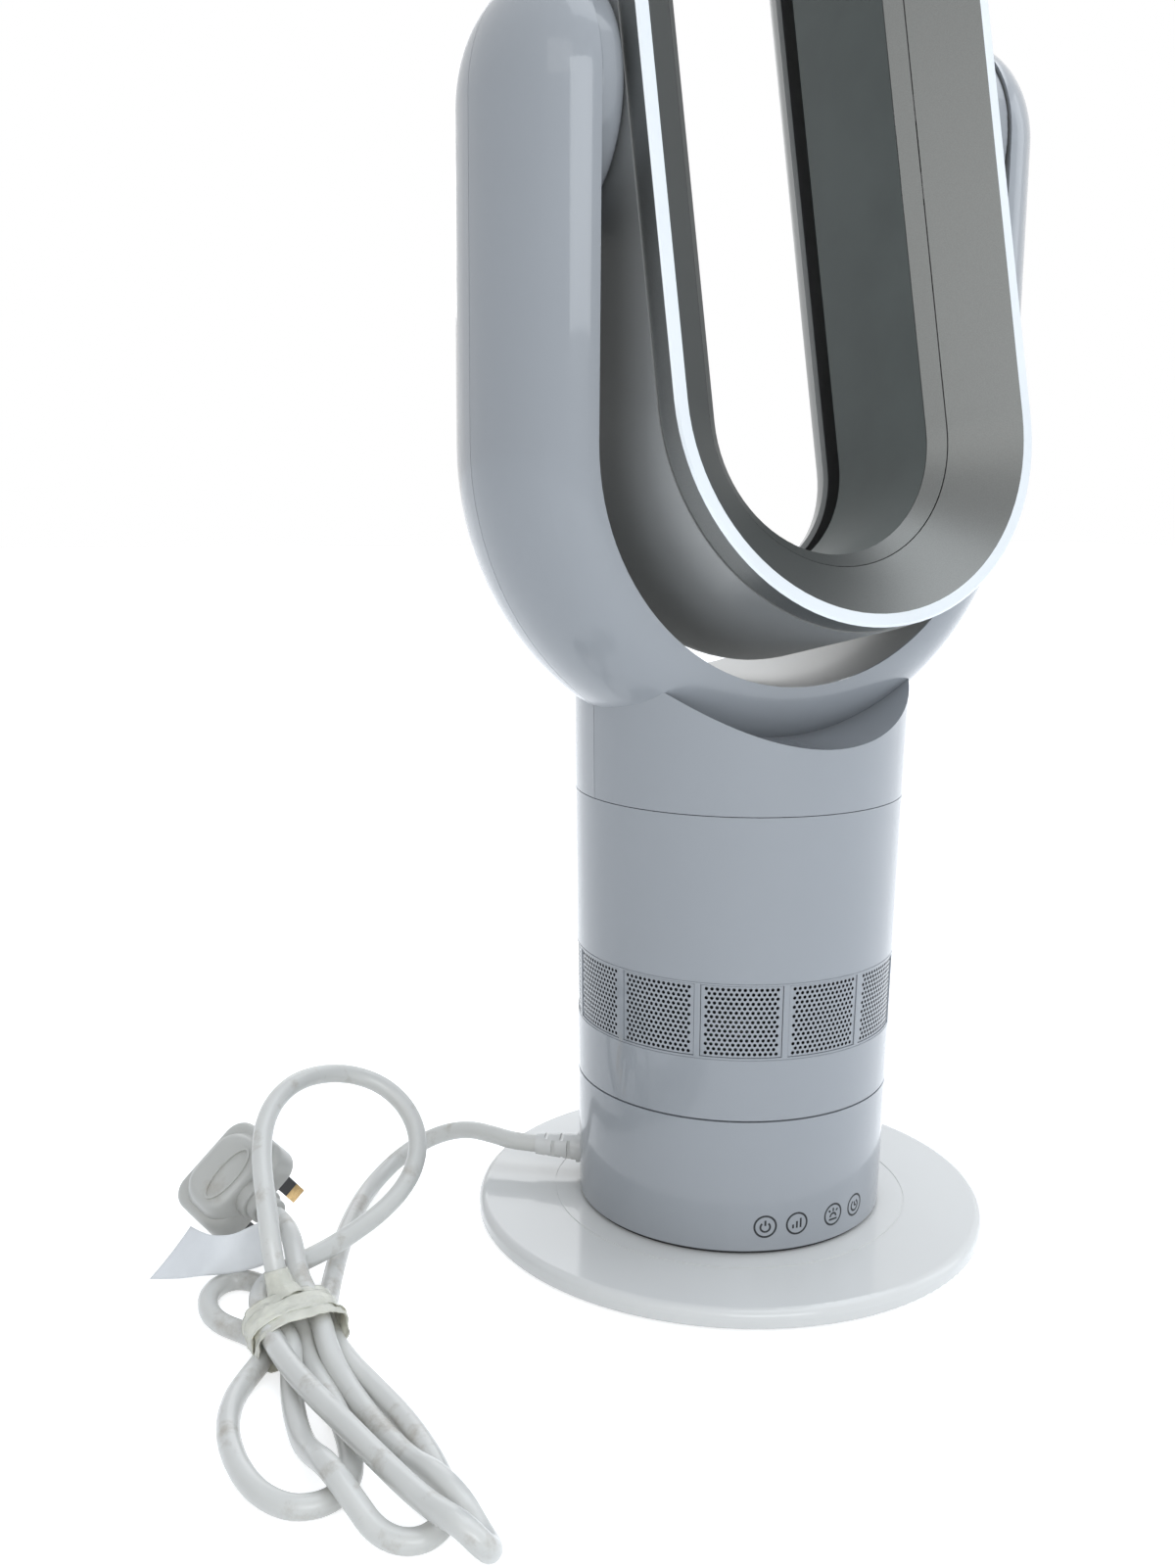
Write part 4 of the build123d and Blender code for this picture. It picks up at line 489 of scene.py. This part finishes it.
# %% [markdown]
# ## The plug
# A moulded mains plug is a soft block: a wide foot with wings, a raised back and a stepped collar that
# keeps the lead from kinking. Bevels of several segments on a scaled cube give the soft block, and each
# step of the collar is a cone with rounded rims. The marks that such a plug carries are left off.

# %% Where the plug lies
PLUG_AT = Vector((-0.1889, 0.0461, 0.0216))      # middle between the lower pins, on the pin face
PLUG_BACK = Vector((-0.546, -0.450, 0.707)).normalized()
PLUG_RIGHT = Vector((0.753, 0.107, 0.649))
PLUG_RIGHT = (PLUG_RIGHT - PLUG_BACK * PLUG_RIGHT.dot(PLUG_BACK)).normalized()
PLUG_UP = PLUG_BACK.cross(PLUG_RIGHT)
plug_place = Matrix.Translation(PLUG_AT) @ Matrix((PLUG_RIGHT, PLUG_UP, PLUG_BACK)).transposed().to_4x4()
PLUG_WIDTH, PLUG_LENGTH, PLUG_THICK = 0.042, 0.032, 0.022
PLUG_FOOT = 0.004                  # how far the block reaches from the lower pins towards the collar
BACK_WIDTH, BACK_LENGTH = 0.036, PLUG_LENGTH - 0.003
COLLAR_STEPS = [0.0080, 0.0067, 0.0055]
COLLAR_STEP = 0.0045
COLLAR_ROOT, COLLAR_OVERLAP = 0.003, 0.0008
COLLAR_RIM = 0.0009
RIDGE_SINK, RIDGE_RISE = 0.0006, 0.0015


def edges_where(shape, test):
    """Edges whose two ends pass a test."""
    return [e for e in shape.edges if test(*e.verts)]


def soften(shape, edges, offset, segments):
    """Round some edges; what is too narrow to round is clamped."""
    bmesh.ops.bevel(shape, geom=edges, offset=offset, segments=segments, profile=0.5, affect="EDGES",
                    material=-1, clamp_overlap=True)


def shade_smooth(made, angle=40):
    """Smooth faces, with a crease where they meet at more than the angle."""
    made.data.polygons.foreach_set("use_smooth", [True] * len(made.data.polygons))
    made.data.set_sharp_from_angle(angle=radians(angle))


def plug_block(width, length, low, high, lean, corner, rim, slope=0.0):
    """A block with round upright corners and a soft upper rim, its top face smaller by lean."""
    shape = bmesh.new()
    bmesh.ops.create_cube(shape, size=1.0)
    bmesh.ops.scale(shape, vec=(width, length, high - low), verts=shape.verts)
    bmesh.ops.translate(shape, vec=(0, length / 2 - PLUG_FOOT, (low + high) / 2), verts=shape.verts)
    top = [v for v in shape.verts if v.co.z > (low + high) / 2]
    for v in top:
        v.co.x *= 1 - lean / width
        if v.co.y > 0:
            v.co.y -= slope
    upright = edges_where(shape, lambda a, b: abs(a.co.z - b.co.z) > (high - low) / 2)
    soften(shape, upright, corner, 8)
    peak = high - 1e-6
    soften(shape, edges_where(shape, lambda a, b: a.co.z > peak and b.co.z > peak), rim, 5)
    floor_z = low + 1e-6
    soften(shape, edges_where(shape, lambda a, b: a.co.z < floor_z and b.co.z < floor_z), rim * 0.25, 3)
    return shape


def join(shapes, name):
    """Several bmesh shapes become one object."""
    whole = bmesh.new()
    for shape in shapes:
        part = bpy.data.meshes.new("part")
        shape.to_mesh(part)
        shape.free()
        whole.from_mesh(part)
        bpy.data.meshes.remove(part)
    bmesh.ops.recalc_face_normals(whole, faces=whole.faces)
    return link_mesh(name, whole)


def collar_ring(radius, start, end):
    """One step of the collar, along -Y, with rounded rims."""
    shape = bmesh.new()
    bmesh.ops.create_cone(shape, cap_ends=True, segments=40, radius1=radius, radius2=radius,
                          depth=start - end)
    rims = edges_where(shape, lambda a, b: abs(a.co.z - b.co.z) < 1e-6)
    soften(shape, rims, COLLAR_RIM, 4)
    bmesh.ops.rotate(shape, cent=(0, 0, 0), matrix=Matrix.Rotation(radians(90), 3, "X"), verts=shape.verts)
    bmesh.ops.translate(shape, vec=(0, (start + end) / 2, PLUG_THICK / 2), verts=shape.verts)
    return shape


def oval_ridge(half_width, half_height, centre_y, wall):
    """The raised oval on the back, blank inside."""
    shape = bmesh.new()
    bmesh.ops.create_circle(shape, cap_ends=True, segments=48, radius=1.0)
    bmesh.ops.scale(shape, vec=(half_width, half_height, 1), verts=shape.verts)
    bmesh.ops.translate(shape, vec=(0, centre_y, PLUG_THICK - RIDGE_SINK), verts=shape.verts)
    flat = shape.faces[:]
    bmesh.ops.inset_region(shape, faces=flat, thickness=wall, depth=0.0, use_boundary=True)
    middle = [f for f in shape.faces if len(f.verts) > 8]
    bmesh.ops.delete(shape, geom=middle, context="FACES")
    grown = bmesh.ops.extrude_face_region(shape, geom=shape.faces[:])
    bmesh.ops.translate(shape, vec=(0, 0, RIDGE_RISE),
                        verts=[v for v in grown["geom"] if isinstance(v, bmesh.types.BMVert)])
    return shape


def make_plug():
    """The wide foot, the raised back, the collar and the ridge, as one object at its place."""
    foot = plug_block(PLUG_WIDTH, PLUG_LENGTH, low=0.0, high=0.0135, lean=0.002, corner=0.008,
                      rim=0.0035, slope=0.002)
    back = plug_block(BACK_WIDTH, BACK_LENGTH, low=0.009, high=PLUG_THICK, lean=0.007, corner=0.009,
                      rim=0.003, slope=0.007)
    parts = [foot, back]
    for i, radius in enumerate(COLLAR_STEPS):
        root = COLLAR_ROOT if i == 0 else COLLAR_OVERLAP
        start = -PLUG_FOOT - COLLAR_STEP * i + root
        parts.append(collar_ring(radius, start, -PLUG_FOOT - COLLAR_STEP * (i + 1)))
    parts.append(oval_ridge(half_width=0.0118, half_height=0.0050, centre_y=0.0040, wall=0.0010))
    made = join(parts, "plug_moulding")
    made.data.transform(plug_place)
    shade_smooth(made)
    return made


plug = make_plug()
plug.data.materials.append(plug_plastic)
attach(plug, "base")
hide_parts("plug_body")
print("plug faces", len(plug.data.polygons))

# %% [markdown]
# ## The tape round the bundle
# Packing tape, wound twice and crumpled, yellowed at its overlaps. Rings of points round the strands,
# bridged into a sleeve, are pushed about by noise; a thin wall comes from solidify.

# %% Tape
TAPE_MIDDLE = Vector((-0.1976, -0.0300, 0.0086))
TAPE_HALF = (0.0157, 0.0094)
TAPE_WALL = 0.00035
TAPE_FLARE = 0.05
TAPE_ACROSS = Vector((1, 0.12, 0))
TAPE_OVER = Vector((0, -0.10, 1))
LOWEST_FILM = 0.0006


def ring_round(shape, centre, across, over, half_across, half_over, count=56, power=0.72):
    """A closed ring, rounder than a box and fuller than an oval."""
    ring = bmesh.ops.create_circle(shape, cap_ends=False, segments=count, radius=1.0)["verts"]
    for v in ring:
        a, b = v.co.x, v.co.y
        sa = half_across * (abs(a) ** power) * (1 if a > 0 else -1)
        sb = half_over * (abs(b) ** power) * (1 if b > 0 else -1)
        v.co = centre + across * sa + over * sb
    return ring


def bridged(shape, rings):
    """Neighbouring rings joined by faces."""
    for a, b in zip(rings, rings[1:]):
        edges = [e for e in shape.edges
                 if (e.verts[0] in a and e.verts[1] in a) or (e.verts[0] in b and e.verts[1] in b)]
        bmesh.ops.bridge_loops(shape, edges=edges)


def crumple(verts, size, depth, seed):
    """Push points along x and z by noise, to give creases."""
    for v in verts:
        n = noise.noise(v.co * size + Vector((seed, 0, 0)))
        m = noise.noise(v.co * size * 2.7 + Vector((0, seed, 0)))
        away = v.co - Vector((TAPE_MIDDLE.x, v.co.y, TAPE_MIDDLE.z))
        v.co += away.normalized() * depth * (n + 0.5 * m)
        v.co.y += depth * 0.8 * noise.noise(v.co * size * 0.8 + Vector((0, 0, seed)))
        v.co.z = max(v.co.z, LOWEST_FILM)


def film_object(name, shape):
    """A sleeve of tape gets its thin wall and its finish, and rides with the base."""
    bmesh.ops.recalc_face_normals(shape, faces=shape.faces)
    made = link_mesh(name, shape)
    wall = made.modifiers.new("wall", "SOLIDIFY")
    wall.thickness = TAPE_WALL
    wall.offset = 0.0
    shade_smooth(made, 60)
    made.data.materials.append(tape_film)
    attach(made, "base")
    return made


def make_band(name, y_from, y_to, steps, grow, seed):
    """One winding of the tape round all strands."""
    shape = bmesh.new()
    rings = []
    for i in range(steps + 1):
        share = i / steps
        flare = 1.0 + TAPE_FLARE * abs(2 * share - 1) ** 2
        centre = Vector((TAPE_MIDDLE.x, y_from + (y_to - y_from) * share, TAPE_MIDDLE.z))
        rings.append(set(ring_round(shape, centre, TAPE_ACROSS, TAPE_OVER,
                                    TAPE_HALF[0] * grow * flare, TAPE_HALF[1] * grow)))
    bridged(shape, rings)
    crumple(shape.verts, 260.0, 0.0011, seed)
    return film_object(name, shape)


tape = make_band("tape_winding", -0.0400, -0.0195, 22, 1.0, 3.0)
tape_over = make_band("tape_second_winding", -0.0345, -0.0245, 12, 1.045, 11.0)
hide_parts("cord_tape")
print("tape faces", len(tape.data.polygons), len(tape_over.data.polygons))

# %% [markdown]
# The end of the tape is pulled up along the strand that rises out of the bundle. It is a cone of film
# round that strand, so it follows the lead's own line.

# %% Film pulled up along the standing strand
FILM_RADII = [0.0074, 0.0064, 0.0056, 0.0050, 0.0046, 0.0044, 0.0043]
RISE_FROM = Vector((-0.1974, -0.0210, 0.0130))


def make_film():
    """A narrowing sleeve along the strand that stands up."""
    start = min(range(len(cord_line)), key=lambda i: (cord_line[i] - RISE_FROM).length)
    shape = bmesh.new()
    rings = []
    for k, radius in enumerate(FILM_RADII):
        here = cord_line[start + 2 * k]
        ahead = (cord_line[start + 2 * k + 1] - here).normalized()
        side = ahead.cross(Vector((0, 0, 1))).normalized()
        rings.append(set(ring_round(shape, here, side, side.cross(ahead), radius, radius, 36, 1.0)))
    bridged(shape, rings)
    crumple(shape.verts, 420.0, 0.0007, 5.0)
    return film_object("tape_pulled_end", shape)


tape_end = make_film()

# %% [markdown]
# ## The tag
# A strip of white film folded round the lead near the plug; the print that such a tag carries is left
# off. A grid is bent between two edge lines, so it curls as the real one does.

# %% Tag
TAG_LOW = [(-0.2330, 0.0420, 0.0010), (-0.2250, 0.0320, 0.0040), (-0.2185, 0.0215, 0.0085),
           (-0.2085, 0.0165, 0.0095), (-0.1985, 0.0120, 0.0120), (-0.1912, 0.0085, 0.0165)]
TAG_HIGH = [(-0.2165, 0.0430, 0.0185), (-0.2150, 0.0330, 0.0205), (-0.2120, 0.0245, 0.0220),
            (-0.2060, 0.0195, 0.0235), (-0.1990, 0.0170, 0.0265), (-0.1918, 0.0140, 0.0295)]
TAG_STEPS = 48
TAG_BULGE = 0.0022
TAG_BULGE_WAY = Vector((0.3, -0.9, 0.1))


def along(points, share):
    """A point of a smooth line through a few points."""
    spot = share * (len(points) - 1)
    i = min(int(spot), len(points) - 2)
    t = spot - i
    p = [Vector(points[max(0, min(len(points) - 1, k))]) for k in (i - 1, i, i + 1, i + 2)]
    return 0.5 * ((2 * p[1]) + (p[2] - p[0]) * t + (2 * p[0] - 5 * p[1] + 4 * p[2] - p[3]) * t ** 2
                  + (3 * p[1] - p[0] - 3 * p[2] + p[3]) * t ** 3)


def make_tag():
    """The strip between its two edge lines, bulged a little and given the thickness of a film."""
    shape = bmesh.new()
    bmesh.ops.create_grid(shape, x_segments=TAG_STEPS, y_segments=14, size=0.5)
    for v in shape.verts:
        length_share, height_share = v.co.x + 0.5, v.co.y + 0.5
        low, high = along(TAG_LOW, length_share), along(TAG_HIGH, length_share)
        bulge = TAG_BULGE * sin(pi * height_share) * (0.4 + sin(5.2 * length_share))
        v.co = low.lerp(high, height_share) + TAG_BULGE_WAY * bulge
    made = link_mesh("blank_tag", shape)
    wall = made.modifiers.new("film", "SOLIDIFY")
    wall.thickness = 0.00022
    shade_smooth(made, 70)
    made.data.materials.append(paper)
    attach(made, "base")
    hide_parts("cord_tag")
    return made


tag = make_tag()
tag_shares = [k / TAG_STEPS for k in range(TAG_STEPS + 1)]
tag_middle = [along(TAG_LOW, s).lerp(along(TAG_HIGH, s), 0.5) for s in tag_shares]
tag_length = sum((b - a).length for a, b in zip(tag_middle, tag_middle[1:]))
tag_height = sum((along(TAG_HIGH, s) - along(TAG_LOW, s)).length for s in tag_shares) / len(tag_shares)
print("tag about %.0f by %.0f mm" % (tag_length * 1000, tag_height * 1000))

# %% [markdown]
# ## The lead itself
# Its line was laid first; here it gets its sheath and rides with the base.

cord_curve.materials.append(sheath)
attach(cord, "base")
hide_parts("mains_lead", "cord_loops", "cord_tail", "cord_hank")
